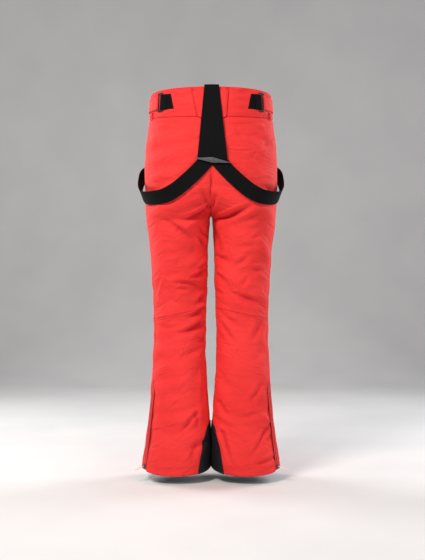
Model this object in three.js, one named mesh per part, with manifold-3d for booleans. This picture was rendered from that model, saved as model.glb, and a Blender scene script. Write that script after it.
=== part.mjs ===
// Insulated ski trousers with elastic braces, shaped as they hang on a wearer.
// Millimetres, +Z up, +Y towards the wearer's front, +X towards the wearer's right.
// The origin is the centre of the waist opening, at the height of its side edges.
import * as THREE from 'three';
import { mergeVertices } from 'three/addons/utils/BufferGeometryUtils.js';
import Module from 'manifold-3d';

const wasm = await Module();
wasm.setup();

// ------------------------------------------------------------ driving sizes

const gap = 0.3;                 // air left between two pieces that touch

const rise = 333;                // waist edge down to the crotch
const thighLength = 332;         // crotch down to the knee axis
const shinLength = 362;          // knee axis down to the hem
const bandDepth = 62;            // waist edge down to the waistband seam

const waist = { half: 168, front: 99, back: 114 };
const seat = { half: 185, front: 113, back: 139 };
const thigh = { outer: 171, inner: 8, front: 94, back: 100 };
const knee = { outer: 160, inner: 14, front: 86, back: 72 };
const calf = { outer: 171, inner: 6, front: 80, back: 84 };
const hem = { outer: 193, inner: 1, front: 92, back: 92 };
const squareness = 2.2;          // exponent of the oval sections, 2 is an ellipse

const panelWall = 3.2;           // shell, wadding and lining, quilted together
const bandWall = 4;              // the same with the waistband's facing
const liningWall = 1.3;          // brushed lining inside the waistband
const patchWall = 1.5;           // one folded layer of shell fabric sewn on top

const waistSlope = -0.06;        // the waist edge rises to the back
const bandSlope = 0.09;          // the waistband is deeper at the back
const hemSlope = 0.17;           // the hem is longer at the heel

const hipAxis = { y: -8, z: -240, radius: 168 };
const kneeAxis = { y: 7, radius: 100 };

const strapWidth = 40;
const strapThickness = 1.4;
const strapTopX = 2;             // where the two back elastics leave the waist
const junctionX = 4;             // where they meet the side elastics
const seatStep = [1.1, 3.1, 5.0]; // heights of the three elastic layers off the seat

const ringBar = 1.7;             // radius of the waist adjuster's wire
const ringHeight = 52;
const ringWidth = 17;
const ringX = 138;               // how far the ring sits from the centre line
const ringZ = -30;
const flapHeight = 42;           // height of the hook strip at the ring

const tapeWidth = 18;
const tapeThickness = 1.2;
const coilWidth = 4.4;
const coilHeight = 0.9;
const sliderLength = 13;
const pullerLength = 21;
const pullerWidth = 6.6;
const hemPullerDrop = 28;        // degrees below level of the standing hem puller

const pocketTop = 88;
const pocketBottom = 240;
const flyBottom = 205;
const hemZipBelowKnee = 35;      // from the knee joint's edge to the hem zip's top

const guardHeight = 122;         // scuff guard above the hem
const guardHalfHem = 62;
const guardHalfTop = 22;
const gaiterHeight = 147;
const gaiterDrop = 4;            // how far the gaiter shows under the hem

// ------------------------------------------------------------ derived levels

const crotchZ = -rise;
const junctionZ = 0.5826 * crotchZ;
const kneeZ = crotchZ - thighLength;
const hemZ = kneeZ - shinLength;
const beyond = 320;              // reach of a cutting block past the trousers
const sides = [['left', -1], ['right', 1]];

/** Height of the waist edge, the waistband seam and the hem at a depth y. */
const waistEdge = (y) => waistSlope * y;
const bandSeam = (y) => -bandDepth + bandSlope * y;
const hemEdge = (y) => hemZ + hemSlope * y;

/** The side seam, from the waistband down, drifts from the side to the back. */
const sideSeam = [
  [8, 60],
  [8, -bandDepth],
  [-4, -0.5 * rise],
  [-16, crotchZ],
  [-28, 0.5 * (crotchZ + kneeZ)],
  [-34, kneeZ],
  [-40, 0.5 * (kneeZ + hemZ)],
  [-45, hemZ],
  [-46, hemZ - 60],
];

/**
 * The leg chart, top to bottom: height, outer side, inner side, front, back.
 * Above the crotch the inner side lies past the centre line, so the two legs
 * merge there into one body.
 */
const down = (share) => THREE.MathUtils.lerp(crotchZ, kneeZ, share);
const below = (share) => THREE.MathUtils.lerp(kneeZ, hemZ, share);
const legChart = [
  [30, waist.half - 1, 1 - waist.half, waist.front, waist.back - 1],
  [0, waist.half, -waist.half, waist.front + 1, waist.back],
  [-bandDepth, waist.half + 4, -waist.half - 4, waist.front + 8, waist.back + 7],
  [-0.39 * rise, seat.half - 5, 5 - seat.half, seat.front - 1, seat.back - 8],
  [-0.5 * rise, seat.half - 1.5, 1.5 - seat.half, seat.front, seat.back - 2.5],
  [-0.6 * rise, seat.half, -seat.half, seat.front, seat.back],
  [-0.78 * rise, seat.half - 1, -0.55 * seat.half, seat.front - 3, seat.back - 1],
  [-0.9 * rise, seat.half - 2, -0.25 * seat.half, seat.front - 7, seat.back - 7],
  [crotchZ, seat.half - 4, 0, seat.front - 12, seat.back - 17],
  [crotchZ - 22, seat.half - 6, 3.5, seat.front - 15, seat.back - 27],
  [down(0.26), thigh.outer, thigh.inner, thigh.front, thigh.back],
  [down(0.57), thigh.outer - 7, thigh.inner + 2, thigh.front - 4, thigh.back - 16],
  [down(0.9), knee.outer, knee.inner, knee.front, knee.back],
  [below(0.2), knee.outer + 3, knee.inner, knee.front - 10, knee.back + 8],
  [below(0.54), calf.outer, calf.inner, calf.front, calf.back],
  [below(0.72), calf.outer + 7, calf.inner - 4, calf.front + 4, calf.back + 2],
  [hemZ, hem.outer, hem.inner, hem.front, hem.back],
  [hemZ - 24, hem.outer + 2, hem.inner, hem.front + 1, hem.back + 1],
];

// ------------------------------------------------------------ the body's surface

const chartCurve = new THREE.CubicInterpolant(
  legChart.map((row) => -row[0]),
  legChart.flatMap((row) => row.slice(1)),
  4,
);

/** The oval of one leg at a height: its centre, half width and two depths. */
function section(z) {
  const top = legChart[0][0];
  const bottom = legChart[legChart.length - 1][0];
  const depth = -THREE.MathUtils.clamp(z, bottom, top);
  const [outer, inner, front, back] = chartCurve.evaluate(depth);
  return { centre: (outer + inner) / 2, half: (outer - inner) / 2, front, back };
}

/** Signed power, which turns a circle's cosine or sine into an oval's. */
const bulge = (value) => Math.sign(value) * Math.abs(value) ** (2 / squareness);

/** What is left of an oval's half size at a share of its other half size. */
const remainder = (share) => (1 - Math.min(1, Math.abs(share)) ** squareness) ** (1 / squareness);

/** A point of one leg's oval; angle 0 is the outer side and 90 the front. */
function ovalPoint(side, z, angle, offset) {
  const { centre, half, front, back } = section(z);
  const depth = Math.sin(angle) > 0 ? front : back;
  const x = centre + (half + offset) * bulge(Math.cos(angle));
  return new THREE.Vector3(side * x, (depth + offset) * bulge(Math.sin(angle)), z);
}

/** The surface point on the outer side at depth y, pushed out by offset. */
function sidePoint(side, y, z, offset) {
  const { centre, half, front, back } = section(z);
  const depth = (y > 0 ? front : back) + offset;
  return new THREE.Vector3(side * (centre + (half + offset) * remainder(y / depth)), y, z);
}

/** The surface point at distance x from the centre line, on the front or back. */
function facePoint(face, x, z, offset) {
  const { centre, half, front, back } = section(z);
  const depth = (face > 0 ? front : back) + offset;
  const share = (Math.abs(x) - centre) / (half + offset);
  return new THREE.Vector3(x, face * depth * remainder(share), z);
}

/** The outward direction of the surface near a point, without its slope in Z. */
function outward(side, point) {
  const { centre, half, front, back } = section(point.z);
  const depth = point.y > 0 ? front : back;
  const u = (Math.abs(point.x) - centre) / half;
  const v = point.y / depth;
  const power = squareness - 1;
  const x = Math.sign(u) * Math.abs(u) ** power / half;
  const y = Math.sign(v) * Math.abs(v) ** power / depth;
  return new THREE.Vector3(side * x, y, 0).normalize();
}

/**
 * A frame on the surface, from a rule that gives the surface point at a height
 * above or below its own place: along is level, up follows the slope, out leaves it.
 */
function surfaceFrame(side, pointAt) {
  const origin = pointAt(0);
  const up = pointAt(15).sub(pointAt(-15)).normalize();
  const out = outward(side, origin);
  out.addScaledVector(up, -out.dot(up)).normalize();
  const along = up.clone().cross(out);
  return new THREE.Matrix4().makeBasis(along, up, out).setPosition(origin);
}

// ------------------------------------------------------------ solids

/** Turn a closed geometry into a solid that can be joined and cut. */
function solidOf(geometry) {
  const bare = geometry.clone();
  bare.deleteAttribute('normal');
  bare.deleteAttribute('uv');
  const merged = mergeVertices(bare, 1e-4);
  return new wasm.Manifold(new wasm.Mesh({
    numProp: 3,
    vertProperties: Float32Array.from(merged.attributes.position.array),
    triVerts: Uint32Array.from(merged.index.array),
  }));
}

/** Turn a solid back into a geometry for a mesh. */
function geometryOf(solid) {
  const mesh = solid.getMesh();
  const geometry = new THREE.BufferGeometry();
  const positions = Float32Array.from(mesh.vertProperties);
  geometry.setAttribute('position', new THREE.BufferAttribute(positions, 3));
  geometry.setIndex(new THREE.BufferAttribute(Uint32Array.from(mesh.triVerts), 1));
  geometry.computeVertexNormals();
  return geometry;
}

/** Join rings of points, each with the same count, into one closed solid. */
function loft(rings) {
  const count = rings[0].length;
  const points = rings.flat();
  const index = [];
  for (let row = 0; row < rings.length - 1; row += 1) {
    for (let i = 0; i < count; i += 1) {
      const a = row * count + i;
      const b = row * count + (i + 1) % count;
      index.push(a, b, b + count, a, b + count, a + count);
    }
  }
  const last = (rings.length - 1) * count;
  const caps = [[0, rings[0]], [last, rings[rings.length - 1]]];
  for (const [start, ring] of caps) {
    const middle = points.length;
    const sum = ring.reduce((total, point) => total.add(point), new THREE.Vector3());
    points.push(sum.divideScalar(count));
    for (let i = 0; i < count; i += 1) {
      const a = start + i;
      const b = start + (i + 1) % count;
      index.push(...(start === 0 ? [middle, b, a] : [middle, a, b]));
    }
  }
  const facesOut = signedVolume(points, index) > 0;
  const geometry = new THREE.BufferGeometry().setFromPoints(points);
  geometry.setIndex(facesOut ? index : index.reverse());
  return solidOf(geometry);
}

/** Six times the volume inside the triangles, negative if they face inwards. */
function signedVolume(points, index) {
  let volume = 0;
  for (let i = 0; i < index.length; i += 3) {
    const [a, b, c] = [points[index[i]], points[index[i + 1]], points[index[i + 2]]];
    volume += a.dot(b.clone().cross(c));
  }
  return volume;
}

const cornerSteps = 4;           // steps in a small rounded corner
const jointSteps = 20;           // steps in a quarter of a joint's arc

/** Extrude an outline of (y, z) points or a shape along X. */
function prismX(outline, from = -beyond, to = beyond, steps = cornerSteps) {
  const basis = new THREE.Matrix4().makeBasis(
    new THREE.Vector3(0, 1, 0),
    new THREE.Vector3(0, 0, 1),
    new THREE.Vector3(1, 0, 0),
  );
  return extruded(outline, to - from, basis.setPosition(from, 0, 0), steps);
}

/** Extrude an outline of (x, z) points or a shape along Y. */
function prismY(outline, from = -beyond, to = beyond) {
  const basis = new THREE.Matrix4().makeBasis(
    new THREE.Vector3(1, 0, 0),
    new THREE.Vector3(0, 0, 1),
    new THREE.Vector3(0, -1, 0),
  );
  return extruded(outline, to - from, basis.setPosition(0, to, 0));
}

/** Extrude an outline by a depth and place it with a matrix. */
function extruded(outline, depth, matrix, steps = cornerSteps) {
  const shape = Array.isArray(outline) ? polygon(outline) : outline;
  const settings = { depth, bevelEnabled: false, curveSegments: steps };
  return solidOf(new THREE.ExtrudeGeometry(shape, settings).applyMatrix4(matrix));
}

/** A shape with straight edges through the given points. */
function polygon(points) {
  return new THREE.Shape(points.map(([u, v]) => new THREE.Vector2(u, v)));
}

/** A polygon whose corners are rounded by a radius. */
function roundedPolygon(points, radius) {
  const shape = new THREE.Shape();
  points.forEach(([u, v], i) => {
    const corner = new THREE.Vector2(u, v);
    const before = new THREE.Vector2(...points.at(i - 1));
    const after = new THREE.Vector2(...points[(i + 1) % points.length]);
    const enter = corner.clone().add(before.sub(corner).setLength(radius));
    const leave = corner.clone().add(after.sub(corner).setLength(radius));
    if (i === 0) shape.moveTo(enter.x, enter.y);
    else shape.lineTo(enter.x, enter.y);
    shape.quadraticCurveTo(u, v, leave.x, leave.y);
  });
  shape.closePath();
  return shape;
}

/** A box from its two opposite corners. */
function box(low, high) {
  const size = high.map((value, i) => value - low[i]);
  const geometry = new THREE.BoxGeometry(...size);
  const middle = high.map((value, i) => (value + low[i]) / 2);
  return solidOf(geometry.translate(...middle));
}

/** A round bar between two points. */
function rod(from, to, radius, segments = 10) {
  const geometry = new THREE.CylinderGeometry(radius, radius, from.distanceTo(to), segments);
  const along = to.clone().sub(from).normalize();
  const turn = new THREE.Quaternion().setFromUnitVectors(new THREE.Vector3(0, 1, 0), along);
  const middle = from.clone().lerp(to, 0.5);
  return solidOf(geometry.applyQuaternion(turn).translate(middle.x, middle.y, middle.z));
}

/** Place a solid built around the origin in the frame given by a matrix. */
const placed = (solid, matrix) => solid.transform(matrix.elements);

/** A flat elastic swept along points, its width lying along the across directions. */
function band(points, across, width, thickness) {
  const rings = points.map((point, i) => {
    const ahead = points[Math.min(i + 1, points.length - 1)];
    const behind = points[Math.max(i - 1, 0)];
    const along = ahead.clone().sub(behind).normalize();
    const normal = along.clone().cross(across[i]).normalize();
    const wide = normal.clone().cross(along).multiplyScalar(width / 2);
    const thick = normal.clone().multiplyScalar(thickness / 2);
    return [[1, 1], [-1, 1], [-1, -1], [1, -1]].map(([w, t]) => point.clone()
      .addScaledVector(wide, w)
      .addScaledVector(thick, t));
  });
  return loft(rings);
}

// ------------------------------------------------------------ skins and regions

const ringSegments = 24;
const shellLevels = [
  30, 0, -bandDepth, -0.39 * rise, -0.5 * rise, -0.6 * rise, -0.7 * rise, -0.78 * rise,
  -0.9 * rise, crotchZ, crotchZ - 22, down(0.26), down(0.57), down(0.9), below(0.2),
  below(0.54), below(0.72), hemZ, hemZ - 24,
];

/** One leg and its half of the body, filled, grown by an offset. */
function filledLeg(side, offset) {
  const rings = shellLevels.map((z) => {
    const ring = [];
    for (let i = 0; i < ringSegments; i += 1) {
      ring.push(ovalPoint(side, z, (2 * Math.PI * i) / ringSegments, offset));
    }
    return ring;
  });
  return loft(rings);
}

/** The layer of one leg between two offsets, kept on its own side of the body. */
function skin(side, inner, outer) {
  const layer = filledLeg(side, outer).subtract(filledLeg(side, inner));
  const ownSide = side > 0 ? [gap / 2, beyond] : [-beyond, -gap / 2];
  const low = [ownSide[0], -beyond, hemZ - 100];
  const high = [ownSide[1], beyond, 100];
  return layer.intersect(box(low, high));
}

/** The layer of the whole waist between two offsets, above the legs' parting. */
function waistSkin(inner, outer) {
  const layer = filledLeg(1, outer).subtract(filledLeg(1, inner));
  return layer.intersect(box([-beyond, -beyond, -0.48 * rise], [beyond, beyond, 100]));
}

/** The block between two sloping edges, seen from the side. */
function between(upper, lower) {
  return prismX([
    [-beyond, lower(-beyond)],
    [beyond, lower(beyond)],
    [beyond, upper(beyond)],
    [-beyond, upper(-beyond)],
  ]);
}

/** The block behind or before the side seam, half a gap short of it. */
function besideSeam(face) {
  const edge = sideSeam.map(([y, z]) => [y + (face * gap) / 2, z]);
  const far = face * beyond;
  return prismX([[far, 60], ...edge, [far, hemZ - 60]]);
}

/** Outline whose lower edge is a joint's arc: the upper piece of a joint. */
function aboveJoint(axis, z, top) {
  const radius = axis.radius - gap / 2;
  const shape = new THREE.Shape();
  shape.moveTo(beyond, top(beyond));
  shape.lineTo(beyond, z);
  shape.lineTo(axis.y + radius, z);
  shape.absarc(axis.y, z, radius, 0, -Math.PI, true);
  shape.lineTo(-beyond, z);
  shape.lineTo(-beyond, top(-beyond));
  return prismX(shape, -beyond, beyond, jointSteps);
}

/** Outline whose upper edge is a joint's arc: the lower piece of a joint. */
function belowJoint(axis, z, bottom) {
  const radius = axis.radius + gap / 2;
  const shape = new THREE.Shape();
  shape.moveTo(beyond, bottom(beyond));
  shape.lineTo(beyond, z);
  shape.lineTo(axis.y + radius, z);
  shape.absarc(axis.y, z, radius, 0, -Math.PI, true);
  shape.lineTo(-beyond, z);
  shape.lineTo(-beyond, bottom(-beyond));
  return prismX(shape, -beyond, beyond, jointSteps);
}

const regions = {
  band: between(waistEdge, (y) => bandSeam(y) + gap / 2),
  hips: aboveJoint(hipAxis, hipAxis.z, (y) => bandSeam(y) - gap / 2),
  thigh: belowJoint(hipAxis, hipAxis.z, () => hemZ)
    .intersect(aboveJoint(kneeAxis, kneeZ, () => 0)),
  shin: belowJoint(kneeAxis, kneeZ, hemEdge),
  behind: besideSeam(-1),
  before: besideSeam(1),
};

// ------------------------------------------------------------ zips

/** A straight zip between two surface points, with its own frame and pieces. */
function zipLine(side, top, bottom, sink) {
  const start = top.clone();
  const end = bottom.clone();
  const middle = start.clone().lerp(end, 0.5);
  const up = start.clone().sub(end).normalize();
  const out = side === 0 ? new THREE.Vector3(0, 1, 0) : outward(side, middle);
  out.addScaledVector(up, -out.dot(up)).normalize();
  const across = up.clone().cross(out).normalize();
  start.addScaledVector(out, -sink);
  end.addScaledVector(out, -sink);
  return { start, end, up, out, across, length: start.distanceTo(end) };
}

/** The frame of a zip at a distance below its top: across, up and out. */
function zipFrame(zip, distance) {
  const at = zip.start.clone().addScaledVector(zip.up, -distance);
  return new THREE.Matrix4().makeBasis(zip.across, zip.up, zip.out).setPosition(at);
}

/** Extrude an (across, out) outline along a zip's frame by a length. */
function alongZip(outline, length) {
  const basis = new THREE.Matrix4().makeBasis(
    new THREE.Vector3(1, 0, 0),
    new THREE.Vector3(0, 0, 1),
    new THREE.Vector3(0, -1, 0),
  );
  return extruded(outline, length, basis);
}

/** Both tapes with the closed coil between them, along the whole zip. */
function zipTape(zip) {
  const flat = tapeThickness / 2;
  const outline = [
    [-tapeWidth / 2, -flat],
    [tapeWidth / 2, -flat],
    [tapeWidth / 2, flat],
    [coilWidth / 2, flat],
    [coilWidth / 2 - 0.6, flat + coilHeight],
    [0.6 - coilWidth / 2, flat + coilHeight],
    [-coilWidth / 2, flat],
    [-tapeWidth / 2, flat],
  ];
  return placed(alongZip(outline, zip.length), zipFrame(zip, 0));
}

/** The opening that a zip needs in the pieces around it. */
function zipSlot(zip, depth = 14) {
  const half = tapeWidth / 2 + gap;
  const room = box([-half, -zip.length - gap, -depth], [half, gap, depth]);
  return placed(room, zipFrame(zip, 0));
}

const sliderFoot = tapeThickness / 2 + gap;
const sliderRoof = tapeThickness / 2 + coilHeight + 0.4;
const sliderTop = sliderRoof + 1.5;
const bailRadius = 4;
const bailHole = 2.6;
const pullerPin = sliderTop + 1.3;   // height of the puller's pin in the bail

/** A slider that straddles the coil, with an arched bail for its puller. */
function slider(zip, distance) {
  const half = sliderLength / 2;
  const wide = 4.8;
  const inside = coilWidth / 2 + 0.4;
  const outline = [
    [-wide, sliderFoot],
    [-inside, sliderFoot],
    [-inside, sliderRoof],
    [inside, sliderRoof],
    [inside, sliderFoot],
    [wide, sliderFoot],
    [wide, sliderTop - 0.5],
    [wide - 0.8, sliderTop],
    [0.8 - wide, sliderTop],
    [-wide, sliderTop - 0.5],
  ];
  const channel = alongZip(outline, sliderLength).translate([0, half, 0]);
  const arch = new THREE.Shape();
  arch.absarc(0, sliderTop - 0.2, bailRadius, 0, Math.PI, false);
  arch.absarc(0, sliderTop - 0.2, bailHole, Math.PI, 0, true);
  return placed(channel.add(prismX(arch, -0.9, 0.9)), zipFrame(zip, distance));
}

/** A puller on its pin; angle 0 hangs it flat down the zip, 90 stands it out. */
function puller(zip, distance, angle) {
  const half = pullerWidth / 2;
  const thick = 0.7;
  const pin = 0.8;
  const window = 4.8;
  const arm = 1.3;
  const plate = roundedPolygon([
    [-half, -window],
    [half, -window],
    [half * 0.8, -window - pullerLength],
    [-half * 0.8, -window - pullerLength],
  ], 1.8);
  const flat = solidOf(new THREE.ExtrudeGeometry(plate, { depth: 2 * thick, bevelEnabled: false }));
  const blade = flat.translate([0, 0, -thick]);
  const bar = rod(new THREE.Vector3(-half, 0, 0), new THREE.Vector3(half, 0, 0), pin, 8);
  const left = box([-half, -window - 2.5, -thick], [arm - half, 0, thick]);
  const right = box([half - arm, -window - 2.5, -thick], [half, 0, thick]);
  const whole = blade.add(bar).add(left).add(right);
  const turned = whole.rotate([-angle, 0, 0]).translate([0, 0, pullerPin]);
  return placed(turned, zipFrame(zip, distance));
}

// ------------------------------------------------------------ the pieces

const pieces = [];   // name, solid and finish of every piece

/** Keep one finished piece under its name. */
function keep(name, solid, finish) {
  pieces.push({ name, solid, finish });
}

const zips = { fly: zipLine(
  0,
  facePoint(1, 0, bandSeam(waist.front) - 4, 0),
  facePoint(1, 0, -flyBottom, 0),
  1.4,
) };
for (const [name, side] of sides) {
  zips[`pocket_${name}`] = zipLine(
    side,
    sidePoint(side, 30, -pocketTop, 0),
    sidePoint(side, 20, -pocketBottom, 0),
    0.6,
  );
  const hemZipTop = kneeZ - kneeAxis.radius - hemZipBelowKnee;
  zips[`hem_${name}`] = zipLine(
    side,
    sidePoint(side, -39, hemZipTop, 0),
    sidePoint(side, -45, hemEdge(-45) + 2, 0),
    1.2,
  );
}

/** Rest places of the sliders, measured from each zip's top. */
const sliderAt = { fly: 14, pocket: 18, hem: (zip) => zip.length - 9 };

/** The waistband's three pieces and the lining behind them. */
function makeWaistband() {
  const whole = waistSkin(-bandWall, 0).intersect(regions.band);
  keep('waistband_back', whole.intersect(regions.behind), 'shell');
  const front = whole.intersect(regions.before);
  const opening = 1;
  for (const [name, side] of sides) {
    const low = [side > 0 ? opening : -beyond, 0, -beyond];
    const high = [side > 0 ? beyond : -opening, beyond, beyond];
    let half = front.intersect(box(low, high));
    if (side < 0) half = half.subtract(snapDisc(snapRadius - 1 + gap, -20, 20));
    keep(`waistband_front_${name}`, half, 'shell');
  }
  const inside = waistSkin(-bandWall - gap - liningWall, -bandWall - gap);
  const lowered = between((y) => waistEdge(y) - 2, (y) => bandSeam(y) + 3);
  const parting = box([-2, 0, -beyond], [2, beyond, beyond]);
  keep('waistband_lining', inside.intersect(lowered).subtract(parting), 'lining');
}

/** The four body panels above the hip joints. */
function makeBody() {
  for (const [name, side] of sides) {
    const panel = skin(side, -panelWall, 0).intersect(regions.hips);
    const back = panel.intersect(regions.behind);
    const front = panel.intersect(regions.before)
      .subtract(zipSlot(zips[`pocket_${name}`]))
      .subtract(zipSlot(zips.fly));
    keep(`seat_${name}`, back, 'shell');
    keep(`hip_front_${name}`, front, 'shell');
  }
}

/** The outline of the scuff guard, seen from the side, grown by a margin. */
function guardOutline(margin) {
  const top = hemZ + guardHeight + margin;
  const shape = new THREE.Shape();
  const low = hemZ - 60;
  shape.moveTo(-guardHalfHem - margin, low);
  shape.lineTo(guardHalfHem + margin, low);
  shape.lineTo(guardHalfHem + margin, hemZ);
  shape.quadraticCurveTo(guardHalfHem * 0.8, top - 35, guardHalfTop + margin, top);
  shape.lineTo(-guardHalfTop - margin, top);
  shape.quadraticCurveTo(-guardHalfHem * 0.8, top - 35, -guardHalfHem - margin, hemZ);
  return shape;
}

/** The block inside one ankle that the scuff guard fills. */
function guardBlock(side, margin) {
  const middle = side * section(hemZ).centre;
  const ends = side > 0 ? [0, middle] : [middle, 0];
  return prismX(guardOutline(margin), ends[0], ends[1]);
}

/** Thigh and shin panels, scuff guards and gaiters of both legs. */
function makeLegs() {
  for (const [name, side] of sides) {
    const panel = skin(side, -panelWall, 0);
    const thighPanel = panel.intersect(regions.thigh);
    keep(`thigh_back_${name}`, thighPanel.intersect(regions.behind), 'shell');
    keep(`thigh_front_${name}`, thighPanel.intersect(regions.before), 'shell');
    const zip = zips[`hem_${name}`];
    const shinPanel = panel.intersect(regions.shin);
    const open = shinPanel.subtract(guardBlock(side, gap)).subtract(zipSlot(zip));
    keep(`shin_back_${name}`, open.intersect(regions.behind), 'shell');
    keep(`shin_front_${name}`, open.intersect(regions.before), 'shell');
    keep(`scuff_guard_${name}`, shinPanel.intersect(guardBlock(side, 0)), 'guard');
    const layer = skin(side, -panelWall - gap - liningWall, -panelWall - gap);
    const height = between(
      (y) => hemEdge(y) + gaiterHeight,
      (y) => hemEdge(y) - gaiterDrop,
    );
    const gaiter = layer.intersect(height).subtract(zipSlot(zip, 5));
    keep(`gaiter_${name}`, gaiter, 'gaiter');
  }
}

/** Tapes, sliders and pullers of the five zips. */
function makeZips() {
  keep('fly_zip_tape', zipTape(zips.fly), 'tape');
  keep('fly_slider', slider(zips.fly, sliderAt.fly), 'metal');
  keep('fly_puller', puller(zips.fly, sliderAt.fly, 0), 'pull');
  for (const [name] of sides) {
    const pocket = zips[`pocket_${name}`];
    keep(`pocket_zip_tape_${name}`, zipTape(pocket), 'tape');
    keep(`pocket_slider_${name}`, slider(pocket, sliderAt.pocket), 'metal');
    keep(`pocket_puller_${name}`, puller(pocket, sliderAt.pocket, 12), 'pull');
    const hemZip = zips[`hem_${name}`];
    const at = sliderAt.hem(hemZip);
    keep(`hem_zip_tape_${name}`, zipTape(hemZip), 'tape');
    keep(`hem_slider_${name}`, slider(hemZip, at), 'metal');
    keep(`hem_puller_${name}`, puller(hemZip, at, 90 - hemPullerDrop), 'pull');
  }
}

/** The pocket bags behind the side pockets, open at their mouths. */
function makePockets() {
  const outline = roundedPolygon([
    [8, -pocketTop + 4],
    [64, -pocketTop + 4],
    [84, -pocketBottom - 30],
    [14, -pocketBottom - 44],
  ], 16);
  for (const [name, side] of sides) {
    const layer = skin(side, -panelWall - gap - 2, -panelWall - gap);
    const ends = side > 0 ? [60, beyond] : [-beyond, -60];
    const bag = layer.intersect(prismX(outline, ends[0], ends[1]));
    keep(`pocket_bag_${name}`, bag.subtract(zipSlot(zips[`pocket_${name}`], 9)), 'lining');
  }
}

const tabTop = -14;
const tabBottom = -48;
const tabHinge = 45;             // sewn end of the closure tab
const tabLift = 0.6;
const tabWall = 1.8;
const snapX = -24;
const snapRadius = 7;
const snapZ = (tabTop + tabBottom) / 2;

/** The frame of the snap on the front waistband. */
const snapFrame = () => surfaceFrame(1, (rising) => facePoint(1, snapX, snapZ + rising, 0));

/** A disc in the snap's frame between two heights off the waistband. */
function snapDisc(radius, from, to) {
  const axis = (height) => new THREE.Vector3(0, 0, height);
  return placed(rod(axis(from), axis(to), radius, 16), snapFrame());
}

/** The tab over the fly, its snap, and the guard behind the fly zip. */
function makeFly() {
  const outline = roundedPolygon([
    [tabHinge, tabTop],
    [-30, tabTop],
    [-40, snapZ],
    [-30, tabBottom],
    [tabHinge, tabBottom],
  ], 5);
  const squareEnd = box([tabHinge - 12, 0, tabBottom], [tabHinge, beyond, tabTop]);
  const cutter = prismY(outline, 0, beyond).add(squareEnd);
  keep('closure_tab', waistSkin(tabLift, tabLift + tabWall).intersect(cutter), 'shell');
  const capBase = tabLift + tabWall + gap;
  keep('snap_cap', snapDisc(snapRadius, capBase, capBase + 1.8), 'metal');
  keep('snap_stud', snapDisc(snapRadius - 1, 0.4 - bandWall, tabLift - 1.8), 'metal');

  const flyLength = zips.fly.length;
  const plate = roundedPolygon([
    [-32, 3],
    [16, 3],
    [13, -flyLength - 9],
    [-20, -flyLength - 9],
  ], 8);
  const depth = panelWall + gap + 1;
  const guard = new THREE.ExtrudeGeometry(plate, {
    depth: 1.5,
    bevelEnabled: false,
    curveSegments: cornerSteps,
  });
  keep('fly_guard', placed(solidOf(guard.translate(0, 0, -depth - 1.5)), zipFrame(zips.fly, 0)), 'shell');
}

/** The patch on the centre back of the waistband, under the elastics. */
function makeCentreBackTab() {
  const outline = roundedPolygon([
    [-50, -5.5],
    [46, -5.5],
    [42, -78],
    [-36, -78],
  ], 9);
  const layer = waistSkin(gap, gap + patchWall);
  keep('centre_back_tab', layer.intersect(prismY(outline, -beyond, 0)), 'shell');
}

/** The waist adjuster of each side: ring, side tab and hook strip. */
function makeAdjusters() {
  const lift = ringBar + 1.4 + gap + 0.1;
  const reach = ringWidth / 2 - ringBar;
  const tall = ringHeight / 2 - ringBar;
  const loopHole = ringBar + 0.35;
  const loopWall = ringBar + 1.4;
  for (const [name, side] of sides) {
    const frame = surfaceFrame(side, (rising) => (
      facePoint(-1, side * ringX, ringZ + rising, lift)));
    const upright = (u, half, radius) => (
      rod(new THREE.Vector3(u, -half, 0), new THREE.Vector3(u, half, 0), radius));
    const wide = reach + ringBar;
    const level = (v) => (
      rod(new THREE.Vector3(-wide, v, 0), new THREE.Vector3(wide, v, 0), ringBar));
    const ring = upright(reach, tall, ringBar)
      .add(upright(-reach, tall, ringBar))
      .add(level(tall))
      .add(level(-tall));
    keep(`adjuster_ring_${name}`, placed(ring, frame), 'buckle');

    /** A sewn loop round one of the ring's bars. */
    const loop = (u, half) => placed(
      upright(u, half, loopWall).subtract(upright(u, half + 1, loopHole)),
      frame,
    );
    /** The short neck between a loop and its strap. */
    const neck = (direction, half) => {
      const near = side * direction * (reach + loopHole);
      const far = near + side * direction * 4;
      const low = [Math.min(near, far), -half, 0.4 - lift];
      return placed(box(low, [Math.max(near, far), half, -1.2]), frame);
    };
    /** Everything beyond a ring's bar, to the front or to the back. */
    const past = (direction) => {
      const near = side * direction * (reach + loopHole + 0.2);
      const far = side * direction * 240;
      const low = [Math.min(near, far), -40, -240];
      const high = [Math.max(near, far), 40, 40];
      return placed(box(low, high), frame);
    };
    const strap = waistSkin(gap + 0.1, gap + 2.1);

    const tabHalf = 19;
    const tabOutline = [
      [-100, ringZ - tabHalf],
      [40, ringZ - tabHalf + 3],
      [40, ringZ + tabHalf - 3],
      [-100, ringZ + tabHalf],
    ];
    const ownSide = side > 0 ? [60, beyond] : [-beyond, -60];
    const tab = strap.intersect(prismX(tabOutline, ...ownSide)).intersect(past(1));
    const tabEnd = loop(side * reach, tabHalf).add(neck(1, tabHalf - 1));
    keep(`adjuster_tab_${name}`, tab.add(tabEnd), 'shell');

    const flapHalf = flapHeight / 2;
    const flapOutline = [
      [side * 150, ringZ - flapHalf],
      [side * 101, ringZ - flapHalf + 2],
      [side * 112, ringZ + flapHalf - 2],
      [side * 150, ringZ + flapHalf],
    ];
    const strip = strap.intersect(prismY(flapOutline, -beyond, 0)).intersect(past(-1));
    const flapEnd = loop(-side * reach, flapHalf).add(neck(-1, flapHalf - 1));
    keep(`adjuster_flap_${name}`, strip.add(flapEnd), 'elastic');
  }
}

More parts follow.
